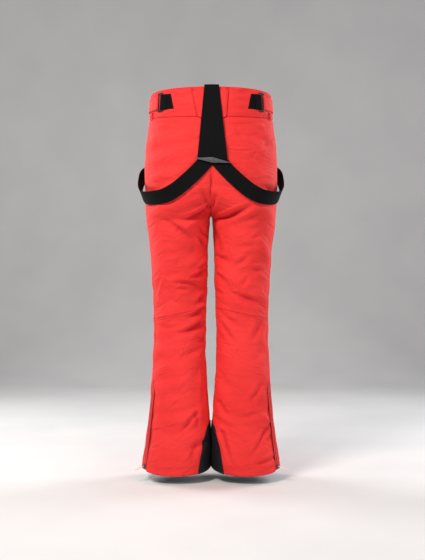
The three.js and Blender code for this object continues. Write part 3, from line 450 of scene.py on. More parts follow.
# %% Fold lines
# Each row: points (across, height) in mm, depths (start, middle, end), width above, below.
BACK_FOLDS = [
    # below the waistband
    ([(-152, -100), (-122, -106), (-95, -113)], (0, 2.0, 0), 9, 14),
    ([(-142, -84), (-100, -89), (-58, -93)], (0, 1.6, 0), 8, 12),
    ([(-88, -104), (-60, -108), (-40, -110)], (0, 1.2, 0), 8, 12),
    ([(48, -121), (80, -125), (113, -129)], (0, 1.8, 0), 8, 14),
    ([(54, -96), (88, -92), (118, -97)], (0, 1.4, 0), 8, 12),
    ([(134, -160), (152, -144), (166, -127)], (0, 2.4, 1), 10, 14),
    ([(141, -182), (156, -168), (168, -155)], (0, 1.8, 1), 9, 12),
    ([(118, -112), (140, -106), (158, -98)], (0, 2.0, 0), 8, 10),
    # pinched above the side elastics
    ([(-181, -262), (-165, -273), (-142, -280)], (4, 5, 0), 13, 7),
    ([(124, -262), (150, -270), (178, -270)], (0, 5, 4), 13, 7),
    ([(-170, -236), (-160, -248), (-146, -256)], (1, 2, 0), 10, 10),
    # seat and crotch
    ([(-34, -258), (-18, -284), (-3, -308)], (0, 3.5, 5), 10, 10),
    ([(20, -272), (12, -290), (4, -308)], (0, 3.0, 5), 9, 9),
    ([(-92, -352), (-58, -347), (-26, -332), (-4, -314)], (0, 8.5, 8), 8, 15),
    ([(-72, -318), (-44, -316), (-12, -304)], (0, 3.0, 4), 12, 12),
    ([(4, -344), (30, -345), (60, -333), (92, -319), (118, -310)], (7, 9, 0), 8, 15),
    ([(76, -356), (115, -340), (146, -330)], (0, 4.5, 0), 9, 14),
    ([(-64, -372), (-40, -362), (-14, -352)], (0, 3.0, 3), 8, 12),
    # left thigh
    ([(-148, -340), (-104, -360), (-72, -382), (-45, -404), (-31, -428)], (0, 6, 0), 7, 18),
    ([(-125, -494), (-100, -496), (-76, -494)], (0, 1.6, 0), 9, 12),
    ([(-136, -412), (-112, -414), (-88, -409)], (0, 1.4, 0), 9, 12),
    # inner left thigh
    ([(-31, -390), (-24, -408), (-10, -424)], (0, 7, 7), 9, 9),
    ([(-32, -362), (-24, -378), (-12, -390)], (0, 5, 5), 8, 8),
    ([(-32, -488), (-22, -478), (-9, -462)], (0, 7, 8), 8, 10),
    ([(-60, -508), (-36, -499), (-9, -482)], (0, 6.5, 8), 7, 12),
    ([(-46, -580), (-30, -568), (-12, -548)], (0, 6, 7), 8, 12),
    ([(-76, -617), (-44, -607), (-12, -584)], (0, 6.5, 7), 7, 12),
    ([(-100, -661), (-58, -648), (-12, -626)], (0, 7.5, 7), 8, 15),
    ([(-34, -687), (-24, -679), (-12, -664)], (0, 4.5, 6), 8, 10),
    # behind the left knee
    ([(-116, -521), (-84, -519), (-56, -521), (-33, -527)], (0, 5, 2), 7, 12),
    ([(-108, -536), (-78, -536), (-45, -541)], (0, 4, 0), 7, 10),
    ([(-118, -560), (-100, -568), (-78, -577)], (0, 2.6, 0), 8, 12),
    ([(-148, -640), (-120, -642), (-92, -641)], (0, 2.4, 0), 8, 10),
    ([(-116, -684), (-98, -685), (-78, -683)], (0, 1.8, 0), 8, 10),
    # right thigh
    ([(6, -362), (15, -398), (25, -434)], (5, 6, 2), 10, 9),
    ([(8, -443), (30, -454), (58, -468)], (5, 4, 0), 9, 11),
    ([(65, -423), (104, -420), (142, -416)], (0, 2.2, 0), 8, 12),
    ([(54, -482), (84, -462), (117, -434)], (0, 3.6, 0), 10, 12),
    ([(94, -484), (124, -486), (154, -481)], (0, 3.6, 0), 8, 14),
    ([(78, -533), (92, -518), (104, -500)], (0, 3.2, 0), 10, 10),
    ([(11, -494), (28, -506), (48, -522)], (5, 4, 0), 8, 11),
    ([(104, -412), (122, -396), (146, -384)], (0, 2.2, 0), 10, 12),
    # behind the right knee
    ([(48, -546), (92, -559), (146, -575)], (0, 6.5, 1), 9, 16),
    ([(14, -538), (24, -546), (34, -554)], (4, 3.5, 0), 7, 9),
    ([(19, -619), (40, -648), (63, -682)], (2, 4.2, 0), 9, 10),
    ([(22, -598), (54, -622), (90, -652)], (2, 3.4, 0), 9, 12),
    ([(108, -688), (128, -652), (145, -608)], (0, 4.0, 0), 12, 12),
    ([(118, -735), (136, -712), (146, -688)], (0, 2.5, 0), 12, 12),
    # left shin
    ([(-84, -930), (-62, -903), (-41, -878)], (0, 4.5, 3), 10, 9),
    ([(-40, -878), (-35, -896), (-31, -914)], (3, 3.5, 0), 9, 9),
    ([(-20, -722), (-16, -782), (-20, -850)], (1, 4.5, 1), 10, 9),
    ([(-132, -847), (-100, -849), (-70, -847)], (0, 1.8, 0), 8, 10),
    ([(-88, -723), (-56, -712), (-18, -694)], (0, 2.6, 2), 8, 12),
    ([(-66, -972), (-40, -962), (-20, -955)], (0, 2.6, 2), 9, 12),
    ([(-52, -1012), (-46, -980), (-34, -948)], (0, 3.0, 0), 10, 10),
    # right shin
    ([(96, -850), (118, -832), (148, -784)], (0, 4.2, 0), 10, 11),
    ([(63, -888), (104, -880), (152, -868)], (0, 2.8, 0), 8, 12),
    ([(106, -996), (136, -948), (168, -893)], (0, 5.0, 2), 8, 10),
    ([(14, -893), (46, -908), (85, -921)], (2, 2.8, 0), 9, 12),
    ([(30, -928), (42, -966), (52, -1006)], (4, 5.0, 1), 8, 8),
    ([(86, -1018), (134, -1011), (186, -994)], (0, 3.6, 2), 8, 12),
    ([(22, -848), (34, -868), (47, -888)], (3, 3.0, 0), 9, 10),
    ([(124, -978), (148, -954), (172, -934)], (0, 2.5, 0), 9, 10),
]
FOLD_GAIN, FOLD_WIDTH = 1.45, 0.66
# Ridges, where taut cloth stands up between two folds, are folds of negative depth.
BACK_RIDGES = [
    ([(-129, -504), (-138, -532), (-144, -556), (-134, -578)], (-1, -2.6, -0.5), 5, 6),
    ([(-129, -504), (-114, -516), (-100, -520)], (-1, -1.6, 0), 6, 6),
    ([(6, -350), (40, -352), (74, -345)], (-1, -3.0, 0), 7, 9),
    ([(-60, -514), (-40, -514), (-30, -524)], (-1, -2.5, -1), 6, 6),
]

# %% [markdown]
# The front folds in the same way: whiskers run out from the fly, short rolls lie over
# the knees, and the cloth stacks over the boot. One set of lines is drawn for one leg
# and mirrored, with a little change so that the two legs don't look stamped.

# %% Fold lines of the front and the sides
FRONT_FOLDS = [
    ([(14, -262), (52, -246), (96, -238)], (3, 4, 0), 9, 12),
    ([(12, -300), (48, -292), (88, -300)], (4, 5, 0), 8, 13),
    ([(10, -334), (36, -344), (72, -372)], (5, 5, 0), 9, 12),
    ([(120, -226), (142, -240), (164, -262)], (0, 3, 0), 9, 12),
    ([(16, -392), (26, -430), (38, -470)], (3, 4, 0), 10, 9),
    ([(60, -430), (92, -418), (130, -412)], (0, 2.5, 0), 9, 12),
    ([(34, -560), (70, -572), (116, -566)], (0, 3.5, 0), 9, 13),
    ([(16, -612), (48, -628), (90, -624)], (3, 4.5, 0), 8, 13),
    ([(70, -690), (110, -684), (150, -668)], (0, 4.5, 3), 8, 13),
    ([(18, -704), (40, -722), (74, -732)], (4, 4, 0), 9, 12),
    ([(90, -760), (118, -748), (146, -726)], (0, 3, 1), 9, 11),
    ([(40, -858), (78, -846), (120, -850)], (0, 2.5, 0), 9, 12),
    ([(24, -905), (58, -922), (104, -926)], (3, 4, 0), 8, 13),
    ([(90, -962), (128, -948), (170, -926)], (0, 4.5, 2), 8, 12),
    ([(30, -968), (62, -984), (104, -986)], (2, 3.5, 0), 8, 12),
]
# Lines on the outer and inner sides: points (towards the front, height).
OUTER_FOLDS = [
    ([(-58, -330), (-20, -346), (30, -340)], (0, 2.5, 0), 9, 12),
    ([(-50, -536), (-14, -552), (36, -548)], (0, 3.5, 0), 8, 12),
    ([(-30, -608), (10, -616), (52, -606)], (0, 3.5, 2), 8, 12),
    ([(-46, -690), (-8, -684), (40, -694)], (0, 3.0, 0), 8, 12),
    ([(-10, -760), (20, -776), (54, -770)], (0, 2.2, 0), 9, 12),
    ([(0, -900), (30, -912), (62, -904)], (0, 3.0, 0), 9, 12),
    ([(-4, -974), (30, -966), (66, -974)], (0, 3.0, 0), 9, 12),
]
INNER_FOLDS = [
    ([(-60, -398), (-20, -410), (30, -402)], (2, 4.0, 0), 8, 10),
    ([(-60, -470), (-14, -478), (40, -466)], (3, 4.0, 0), 8, 10),
    ([(-50, -556), (-8, -548), (40, -560)], (3, 4.0, 1), 8, 10),
    ([(-46, -622), (0, -634), (46, -624)], (3, 4.5, 2), 8, 10),
    ([(-46, -706), (-6, -698), (40, -710)], (2, 3.5, 1), 8, 10),
    ([(-40, -800), (0, -808), (44, -800)], (0, 2.5, 0), 8, 10),
    ([(-50, -888), (0, -880), (50, -890)], (0, 2.5, 0), 8, 10),
]


def rounded(points, turns=2):
    """Cut each corner of a line a quarter in from both sides, a few times over."""
    line = np.array(points, float)
    for _ in range(turns):
        near = 0.75 * line[:-1] + 0.25 * line[1:]
        far = 0.25 * line[:-1] + 0.75 * line[1:]
        middle = np.stack([near, far], axis=1).reshape(-1, 2)
        line = np.concatenate([line[:1], middle[1:-1], line[-1:]])
    return line


def to_line(across, height, points):
    """Distance to a line, positive above it, and the share of the line run there."""
    line = rounded(points)
    start, step = line[:-1], np.diff(line, axis=0)
    size = np.linalg.norm(step, axis=1)
    run = np.concatenate([[0], np.cumsum(size)])
    x, z = across[..., None] - start[:, 0], height[..., None] - start[:, 1]
    share = np.clip((x * step[:, 0] + z * step[:, 1]) / size**2, 0, 1)
    away = np.hypot(x - share * step[:, 0], z - share * step[:, 1])
    best = away.argmin(axis=-1)[..., None]
    pick = [np.take_along_axis(v, best, -1)[..., 0] for v in (away, share, step[:, 0] * z - step[:, 1] * x)]
    i = best[..., 0]
    return np.copysign(pick[0], pick[2]), (run[i] + pick[1] * size[i]) / run[-1]


def folded(across, height, folds):
    """Sum of the folds in mm: each is a cusped valley, exp(-r^1.2), with a shoulder of
    two fifths of its depth at 1.9 widths from its line."""
    total = np.zeros(np.shape(across))
    for points, depths, above, below in folds:
        low, high = np.min(points, axis=0) - 55, np.max(points, axis=0) + 55
        near = (across > low[0]) & (across < high[0]) & (height > low[1]) & (height < high[1])
        if not near.any():
            continue
        away, share = to_line(across[near], height[near], points)
        r = np.abs(away) / (FOLD_WIDTH * np.where(away > 0, above, below))
        depth = np.interp(share, [0, 0.5, 1], depths)
        total[near] += depth * (0.4 * np.exp(-(((r - 1.9) / 0.9) ** 2)) - np.exp(-(r**1.2)))
    return total


# %% [markdown]
# Seams pull the padding flat, and a zip lies in a shallow trough between two welts.
# The ripple is what is left of the cloth's stiffness: a dozen slow waves with fixed
# directions, none larger than a millimetre.

# %% Seams, zips and ripple
SIDE_SEAM = np.array(
    [(-62, 8), (-166.5, -4), (-333, -16), (-499, -28), (-665, -34), (-846, -40), (-1027, -45)]
)
POCKET_ZIP = ((30, -88), (20, -240))
HEM_ZIP = ((-39, -800), (-45, -1033))
FLY_ZIP = ((0, -57), (0, -205))


def side_seam(z):
    """Depth of the side seam at a height; it drifts to the back on its way down."""
    return np.interp(-np.asarray(z, float), -SIDE_SEAM[:, 0], SIDE_SEAM[:, 1])


def groove(distance, depth, width):
    """A sewn groove: a bell of that depth and half width."""
    return -depth * np.exp(-((distance / width) ** 2))


def trough(across, height, ends, depth=3.2, half=7.5):
    """A flat-bottomed trough along a straight zip, with welts that stand up beside it."""
    away, share = to_line(across, height, ends)
    away = np.abs(away)
    bed = -depth * smoothstep(half + 5, half, away)
    return bed + 1.0 * np.exp(-(((away - half - 5) / 3) ** 2)) * (share > 0) * (share < 1)


def ripple(angle, z, side):
    """Slow waves over the cloth, in mm."""
    draw = np.random.default_rng(11 if side < 0 else 23)
    total = np.zeros(np.shape(z))
    for size in np.linspace(0.75, 0.2, 12):
        turns = draw.integers(1, 7)
        pitch, phase = draw.uniform(45, 150), draw.uniform(0, 2 * math.pi)
        total += size * np.sin(turns * angle + 2 * math.pi * z / pitch + phase)
    return total


PATCH_OUTLINE = ((-51, 6), (-38, -66), (-33, -78), (39, -78), (43, -66), (47.5, 6))


def under_strap(side, x, z, angle):
    """1 under a side elastic, 0 well away from it: the strap presses the cloth flat."""
    behind = [(4 + side * a, b) for a, b in ((0, -192), (44, -226), (72, -252), (100, -274), (128, -288))]
    before = [(side * a, b) for a, b in ((92, -24), (130, -128), (152, -160))]
    lines = np.where(np.sin(angle) < 0, to_line(x, z, behind)[0], to_line(x, z, before)[0])
    return smoothstep(33, 22, np.abs(lines))


def fold_depth(side, point, angle):
    """Sum of the folds at a point, in mm, calmer where the leg is seen edge on."""
    x, y, z = np.moveaxis(point, -1, 0)
    back = smoothstep(0.02, -0.30, np.sin(angle))
    front = smoothstep(-0.02, 0.30, np.sin(angle))
    outer = smoothstep(0.25, 0.7, np.cos(angle))
    inner = smoothstep(-0.45, -0.85, np.cos(angle)) * smoothstep(-345, -380, z)
    mine = [f for f in BACK_FOLDS + BACK_RIDGES if side * np.mean(f[0], axis=0)[0] > 0]
    total = FOLD_GAIN * back * folded(x, z, mine)
    total += front * folded(side * x, z + 9 * side, FRONT_FOLDS)
    total += 0.7 * outer * folded(y, z + 7 * side, OUTER_FOLDS)
    total += 0.45 * inner * folded(y, z - 8 * side, INNER_FOLDS)
    calm = 1 - 0.7 * smoothstep(0.80, 0.97, np.abs(np.cos(angle)))
    pressed = under_strap(side, x, z, angle)
    return total * calm * (1 - pressed) - 0.8 * pressed


def relief(side, point, angle):
    """How far the cloth stands off the body at a point, in mm."""
    x, y, z = np.moveaxis(point, -1, 0)
    total = fold_depth(side, point, angle)
    calm = 1 - 0.6 * smoothstep(0.80, 0.97, np.abs(np.cos(angle)))
    pressed = under_strap(side, x, z, angle)
    waves = ripple(angle, z, side) * smoothstep(-70, -130, z) * smoothstep(-1020, -960, z)
    total += waves * calm * (1 - pressed)
    total -= 1.9 * smoothstep(8, 1, -62 + 0.09 * y - z)
    total += (np.sin(angle) < 0) * groove(to_line(x, z, PATCH_OUTLINE)[0], 2.2, 2.8)
    on_side = np.cos(angle) > 0
    total += on_side * groove(y - side_seam(z), 1.3, 3.5)
    total += on_side * trough(y, z, POCKET_ZIP)
    total += on_side * trough(y, z, HEM_ZIP, 3.6)
    on_front = np.sin(angle) > 0
    total += on_front * trough(x, z, FLY_ZIP, 3.6)
    total += groove(x, 0.5, 3.5) * smoothstep(-370, -333, z) * (1 - on_front)
    return total


def cloth(side, z, angle, lift=0.0):
    """Point on the cloth of one leg, pushed out by lift, all in mm."""
    point, out = oval(side, z, angle)
    stand = relief(side, point, np.broadcast_to(angle, point.shape[:-1])) + lift
    return point + out * np.asarray(stand)[..., None]


# %% [markdown]
# ## Shell of the legs
# Each leg is one shell from the waistband's seam to the hem, cut once along the knee
# seam, because a piece can bend across one joint only. The grid runs round the leg
# from the back seam by way of the outer side to the front seam. Above the crotch both
# its edges lie on the centre line and below it they meet at the inseam, as the cut
# panels do. A Solidify modifier gives the quilt its thickness, with the lining on its
# inner side.

# %% Shell grids
KNEE_LEVEL, CROTCH_LEVEL = -605, -333


def seam_tilt(level, x, y):
    """How much a row rises or falls: with the waistband's seam at the top, the knee
    seam in the middle and the hem at the bottom, and level at the crotch."""
    waist = 0.09 * y * smoothstep(-200, -62, level)
    knee = (20 - 37 * np.clip(np.abs(x) / 165, 0, 1)) * smoothstep(-400, -590, level)
    knee = knee * smoothstep(-790, -610, level)
    hem = 0.17 * y * smoothstep(-880, -1027, level)
    return waist + knee + hem


def leg_rows(side, levels, columns):
    """Angles and heights of a shell's grid. The angle stops where the oval crosses the
    centre line: cos t = (centre / half) ^ 1.1, short of the inner side."""
    centre, half, _, _ = section(levels)
    short = np.arccos(np.clip(centre / half, 0, 1) ** (SQUARENESS / 2))
    angle = np.linspace(-1, 1, columns)[None, :] * (math.pi - short)[:, None]
    flat, _ = oval(side, levels[:, None], angle)
    return angle, levels[:, None] + seam_tilt(levels[:, None], flat[..., 0], flat[..., 1])


def leg_shell(side, levels, columns=196):
    """The cloth over those levels; above the crotch its edges stay on the centre line."""
    angle, z = leg_rows(side, levels, columns)
    grid = cloth(side, z, angle)
    whole = levels > CROTCH_LEVEL - 0.5
    for edge in (0, -1):
        grid[whole, edge, 0] = 0
    grid[~whole, 0] = grid[~whole, -1] = (grid[~whole, 0] + grid[~whole, -1]) / 2
    return grid


def painted_fold_shade(side, levels, columns=196):
    """Painted shade, from 0 on open cloth to 1 deep in a fold or a seam, where shade falls."""
    angle, z = leg_rows(side, levels, columns)
    point, _ = oval(side, z, angle)
    x, y, _ = np.moveaxis(point, -1, 0)
    fold = (np.clip(-fold_depth(side, point, angle) - 1.2, 0, 7.5) / 7.5) ** 1.3
    seam = np.exp(-(((y - side_seam(z)) / 2.2) ** 2)) * (np.cos(angle) > 0)
    seat = np.exp(-((x / 2.0) ** 2)) * (np.sin(angle) < 0) * smoothstep(-345, -333, z)
    seam = np.maximum(seam, 0.35 * seat)
    seam = np.maximum(seam, smoothstep(5, 0.5, -62 + 0.09 * y - z))
    seam = np.maximum(seam, smoothstep(3.5, 0.5, np.abs(levels[:, None] - KNEE_LEVEL)))
    patch = 1.6 * np.exp(-((to_line(x, z, PATCH_OUTLINE)[0] / 2.0) ** 2)) * (np.sin(angle) < 0)
    seam = np.maximum(seam, patch)
    return np.maximum(fold, 0.55 * seam)


def keep_to_side(grid, side, least=0.15):
    """Push points that folds carried over the centre line back to their own side."""
    grid[..., 0] = side * np.maximum(side * grid[..., 0], least * (np.abs(grid[..., 0]) > 0))
    return grid


UPPER_LEVELS = np.unique(np.concatenate([
    np.linspace(KNEE_LEVEL, -350, 86), np.linspace(-350, -316, 24), np.linspace(-316, -62, 84)
]))[::-1]
LOWER_LEVELS = np.linspace(KNEE_LEVEL, -1027, 142)

shells, shell_grids = {}, {}
for name, side in SIDES:
    for part, levels in (("upper", UPPER_LEVELS), ("lower", LOWER_LEVELS)):
        grid = keep_to_side(leg_shell(side, levels), side)
        piece = cloth_grid(f"shell_{part}_{name}", grid, shell_twill, flip=side > 0)
        # the valley value is painted shade for the shell's folds and seams
        keep_values(piece, "valley", painted_fold_shade(side, levels))
        shell_grids[part, name] = grid
        shells[part, name] = close_up(piece)
        print(piece.name, len(piece.data.polygons), "faces")


# %% [markdown]
# ## Thickness and lining of the shell
# The grid is the shell's outer face. A Solidify modifier adds the quilt behind it and
# gives the inner face the lining's finish.

# %% Thickness and lining of the shell
def quilted(piece, thickness, inside):
    """Give a shell its thickness inwards; its inner face takes the lining's finish."""
    piece.data.materials.append(inside)
    wall = piece.modifiers.new("quilt", "SOLIDIFY")
    wall.thickness, wall.offset = thickness, -1
    wall.material_offset = 1
    return piece


HIP_BEND, SHELL_THICKNESS = 0.17, 0.0026
for name, side in SIDES:
    upper, lower = shells["upper", name], shells["lower", name]
    for piece in (upper, lower):
        quilted(piece, SHELL_THICKNESS, lining_tricot)
    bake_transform(upper)
    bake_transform(lower)
    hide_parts(f"seat_{name}", f"hip_front_{name}", f"thigh_back_{name}", f"thigh_front_{name}")
    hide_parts(f"shin_back_{name}", f"shin_front_{name}")

# %% [markdown]
# ## Points and paths on the body
# Straps, tabs and patches lie on the body, so their grids are worked out from it: a
# point on the back or front at a distance x from the middle, or on the outer side at
# a depth y, each pushed out by a lift. Paths are smooth curves through such points.

# %% Points and paths on the body


def on_face(face, x, z, lift=0.0):
    """Point on the back (face -1) or front (face 1) of the body."""
    x, z, lift = np.broadcast_arrays(np.asarray(x, float), z, lift)
    centre, half, front, back = section(z)
    depth = np.where(face > 0, front, back) + lift
    return np.stack([x, face * depth * remainder((np.abs(x) - centre) / (half + lift)), z], axis=-1)


def on_side(side, y, z, lift=0.0):
    """Point on the outer side of the body at depth y."""
    y, z, lift = np.broadcast_arrays(np.asarray(y, float), z, lift)
    centre, half, front, back = section(z)
    depth = np.where(y > 0, front, back) + lift
    return np.stack([side * (centre + (half + lift) * remainder(y / depth)), y, z], axis=-1)


def level_out(side, points):
    """Outward direction of the body near points, level with the floor."""
    x, y, z = np.moveaxis(np.asarray(points, float), -1, 0)
    centre, half, front, back = section(z)
    depth = np.where(y > 0, front, back)
    u = power((np.abs(x) - centre) / half, SQUARENESS - 1) / half
    v = power(y / depth, SQUARENESS - 1) / depth
    out = np.stack([side * u, v, 0 * z], axis=-1)
    return out / np.linalg.norm(out, axis=-1, keepdims=True)


def unit(vectors):
    """Vectors scaled to length one; a vector of no length stays as it is."""
    return vectors / np.maximum(np.linalg.norm(vectors, axis=-1, keepdims=True), 1e-9)


def smooth_path(points, steps):
    """A curve through the points, cubic between each pair, whose speed follows the
    square root of the gap between points, so that it makes no loops."""
    points = np.array(points, float)
    ends = 2 * points[[0, -1]] - points[[1, -2]]
    p = np.concatenate([ends[:1], points, ends[1:]])
    dt = np.sqrt(np.linalg.norm(np.diff(p, axis=0), axis=1))[:, None]
    dt = np.maximum(dt, 1e-4)
    slope = np.diff(p, axis=0) / dt
    wide = (p[2:] - p[:-2]) / (dt[:-1] + dt[1:])
    tangent = slope[:-1] - wide + slope[1:]
    start, end = points[:-1], points[1:]
    t0, t1 = tangent[:-1] * dt[1:-1], tangent[1:] * dt[1:-1]
    s = (np.arange(steps) / steps)[None, :, None]
    start, end, t0, t1 = (v[:, None, :] for v in (start, end, t0, t1))
    curve = (
        start * (2 * s**3 - 3 * s**2 + 1) + end * (3 * s**2 - 2 * s**3)
        + t0 * (s**3 - 2 * s**2 + s) + t1 * (s**3 - s**2)
    )
    return np.concatenate([curve.reshape(-1, 3), points[-1:]])


# %% [markdown]
# ## Sheets with thickness
# Each strap, tab or patch starts as one grid through the middle of the cloth. Its two
# faces stand off it by half the thickness, less close to the border, where the height
# follows a quarter circle, so that a folded or woven edge is round and closed.

# %% Sheets with thickness


def between_lines(grid, radius, axis):
    """Add lines of points just inside both borders, where the edge turns round."""
    run = lengths(grid, axis).mean(axis=1 - axis)
    count = grid.shape[axis]
    near = np.interp(radius * np.array([0.12, 0.45, 1.0]), run, np.arange(count))
    far = np.interp(run[-1] - radius * np.array([0.12, 0.45, 1.0]), run, np.arange(count))
    at = np.unique(np.concatenate([np.arange(count), near, far]))
    low = np.minimum(at.astype(int), count - 2)
    share = np.expand_dims(at - low, tuple(k for k in range(3) if k != axis))
    first, second = np.take(grid, low, axis), np.take(grid, low + 1, axis)
    return first * (1 - share) + second * share


def sheet_piece(name, grid, thickness, material, ring=False, lining=None):
    """A closed piece of cloth round a grid of its middle surface, in mm."""
    radius = thickness / 2
    grid = between_lines(grid, radius, 0)
    if not ring:
        grid = between_lines(grid, radius, 1)
    profile = np.ones(grid.shape[:2])
    for axis in (0,) if ring else (0, 1):
        run = lengths(grid, axis)
        total = np.take(run, [-1], axis)
        inside = np.clip(np.minimum(run, total - run) / radius, 0, 1)
        profile *= np.sqrt(1 - (1 - inside) ** 2)
    down, beside = np.gradient(grid, axis=0), np.gradient(grid, axis=1)
    if ring:
        beside[:, 0] = beside[:, -1] = grid[:, 1] - grid[:, -2]
    normal = unit(np.cross(beside, down))
    stand = normal * (radius * profile)[..., None]
    rows, columns = grid.shape[:2]
    faces = grid_faces(rows, columns)
    outer, inner = faces, faces[:, ::-1] + rows * columns
    uv = np.stack([lengths(grid, 1), lengths(grid, 0)], axis=-1).reshape(-1, 2) * 0.001
    both = np.concatenate([outer, inner])
    piece = raw_mesh(name, np.stack([grid + stand, grid - stand]), both, np.tile(uv, (2, 1))[both], material)
    if lining:
        piece.data.materials.append(lining)
        index = np.repeat([0, 1], len(faces)).astype(np.int32)
        piece.data.polygons.foreach_set("material_index", index)
    return close_up(piece)


def on_root(piece, slot, *nodes):
    """The piece rides on the fixed body and stands for these CAD nodes."""
    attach(piece, "root")
    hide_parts(*nodes)
    print(piece.name, len(piece.data.polygons), "faces")
    return piece


# %% [markdown]
# ## Waistband
# The waistband is a tube of shell cloth with a brushed lining inside, folded over at
# its top edge. It dips to the front and is deeper at the back. A few shallow wrinkles
# show where the waist adjusters gather it.

# %% Waistband
BAND_WRINKLES = [
    ([(50, -14), (88, -4), (118, -8)], (0, 1.6, 0), 6, 8),
    ([(54, -30), (86, -26), (110, -30)], (0, 1.2, 0), 6, 7),
    ([(-92, -42), (-70, -43), (-48, -45)], (0, 1.4, 0), 6, 8),
    ([(-98, -20), (-78, -16), (-56, -18)], (0, 1.0, 0), 6, 8),
    ([(60, -50), (84, -52), (108, -49)], (0, 1.2, 0), 6, 7),
    ([(-120, -58), (-96, -60), (-70, -60)], (0, 1.2, 0), 5, 7),
]


def band_height(angle, share):
    """Height on the waistband: share 0 is its seam, 1 its top edge."""
    flat, _ = oval(1, -30.0, angle)
    y = flat[..., 1]
    seam, edge = -64 + 0.09 * y, -0.06 * y
    return seam + share * (edge - seam)


def band_surface(angle, share, lift):
    """Point on the waistband's outer face."""
    z = band_height(angle, share)
    point, out = oval(1, z, angle)
    back = smoothstep(0, -0.3, np.sin(angle))
    puff = 0.35 * np.sin(math.pi * np.clip(share, 0, 1)) + back * folded(point[..., 0], z, BAND_WRINKLES)
    puff += groove(z - band_height(angle, 1) + 6, 0.5, 1.6) + groove(z - band_height(angle, 0) - 5, 0.5, 1.6)
    puff += back * groove(to_line(point[..., 0], z, PATCH_OUTLINE)[0], 2.2, 2.8)
    beside = smoothstep(130, 142, np.abs(point[..., 0]))
    puff += beside * groove(np.abs(z + 30) - 20.5, 1.4, 2.2)
    return point + out * (puff + lift)[..., None]


angle = np.linspace(0, 2 * math.pi, 360)[None, :] + math.pi / 2
share = np.linspace(-0.02, 1.0, 34)[:, None]
band_grid = band_surface(angle, share, -1.9)[:, ::-1]
waistband = sheet_piece("waistband_cloth", band_grid[::-1], 4.6, shell_twill, ring=True, lining=lining_tricot)


def shade_by_place(piece, rule):
    """Set a piece's valley value from a rule of the place (mm) of each vertex."""
    place = np.empty(3 * len(piece.data.vertices), np.float32)
    piece.data.vertices.foreach_get("co", place)
    keep_values(piece, "valley", np.clip(rule(*place.reshape(-1, 3).T * 1000), 0, 1))


def band_painted_shade(x, y, z):
    """Painted shade, deepest along the patch, under the side tabs' edges and at the seam."""
    patch = (y < 0) * 1.3 * np.exp(-((to_line(x, z, PATCH_OUTLINE)[0] / 2.6) ** 2))
    tab_edge = np.abs(np.abs(z + 30) - 20.5)
    tabs = (np.abs(x) > 134) * 1.2 * np.exp(-((tab_edge / 2.4) ** 2))
    seam = 0.6 * smoothstep(3.0, 0.5, z + 63 - 0.09 * y)
    folds = np.clip(-folded(x, z, BAND_WRINKLES) / 3, 0, 0.6) * (y < 0)
    return np.maximum.reduce([patch, tabs, seam, folds])


# painted shade along the patch, the side tabs' edges, the seam and the wrinkles
shade_by_place(waistband, band_painted_shade)
band_nodes = ("waistband_back", "waistband_front_left", "waistband_front_right", "waistband_lining")
on_root(waistband, "shell_fabric", *band_nodes)

# %% [markdown]
# ## Patches sewn on the waistband
# A shield-shaped patch backs the braces on the centre back, and a pointed tab closes
# the fly in front with a snap. Both are cut between two slanting lines, so their grid
# runs from the left line to the right one at each height.

# %% Patch on the centre back and closure tab


def spaced(count):
    """Shares from 0 to 1, closer together at both ends."""
    return (1 - np.cos(np.linspace(0, math.pi, count))) / 2


def patch_grid(face, left, right, top, bottom, lift, rows=26, columns=40, corner=9):
    """A patch between two lines; left and right give x at the top and the bottom. Its
    bottom corners are rounded by lifting the outline there on a quarter circle."""
    v, u = spaced(rows)[:, None], spaced(columns)[None, :]
    x = (left[0] + v * (left[1] - left[0])) * (1 - u) + (right[0] + v * (right[1] - right[0])) * u
    width = right[1] - left[1]
    from_end = np.minimum(u, 1 - u) * width
    short = corner - np.sqrt(corner**2 - (corner - np.clip(from_end, 0, corner)) ** 2)
    z = top + v * (bottom + short - top)
    return on_face(face, x, z, lift)


centre_patch = sheet_piece(
    "centre_back_patch",
    patch_grid(-1, (-50, -36), (46, 42), -5.5, -78, 1.25),
    2.2,
    shell_twill,
)
on_root(centre_patch, "shell_fabric", "centre_back_tab")

v, u = spaced(20)[:, None], spaced(44)[None, :]
point_x = -40 + 10 * np.abs(2 * v - 1) ** 1.3
tab_x = 45 + u * (point_x - 45)
tab_cloth = sheet_piece("closure_tab_cloth", on_face(1, tab_x, -14 - 34 * v, 1.5)[:, ::-1], 1.8, shell_twill)
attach(tab_cloth, "closure_tab")
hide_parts("closure_tab")

# %% [markdown]
# ## Waist adjusters
# On each side a shell tab from the front and a black hook strip from the back meet
# at a wire ring. Each wraps round its bar of the ring and is sewn down on itself. The
# path of such a strap is drawn in two lengths: how far round the waist it has come
# from the ring, and how far it stands off.

# %% Waist adjusters
RING_X, RING_Z, RING_LIFT, BAR_AWAY = 138, -30, 3.5, 6.8


def from_ring(side, run, stand, z):
    """Point at a distance round the waist from the ring, positive to the front."""
    turn = np.linspace(-math.pi / 2, math.pi / 2, 400)
    line, _ = oval(side, RING_Z, turn)
    reached = lengths(line[None], 1)[0]
    ring_angle = -math.acos((RING_X / section(RING_Z)[1]) ** (SQUARENESS / 2))
    start = np.interp(ring_angle, turn, reached)
    angle = np.interp(start + run, reached, turn)
    point, out = oval(side, z, angle)
    return point + out * np.asarray(stand)[..., None]


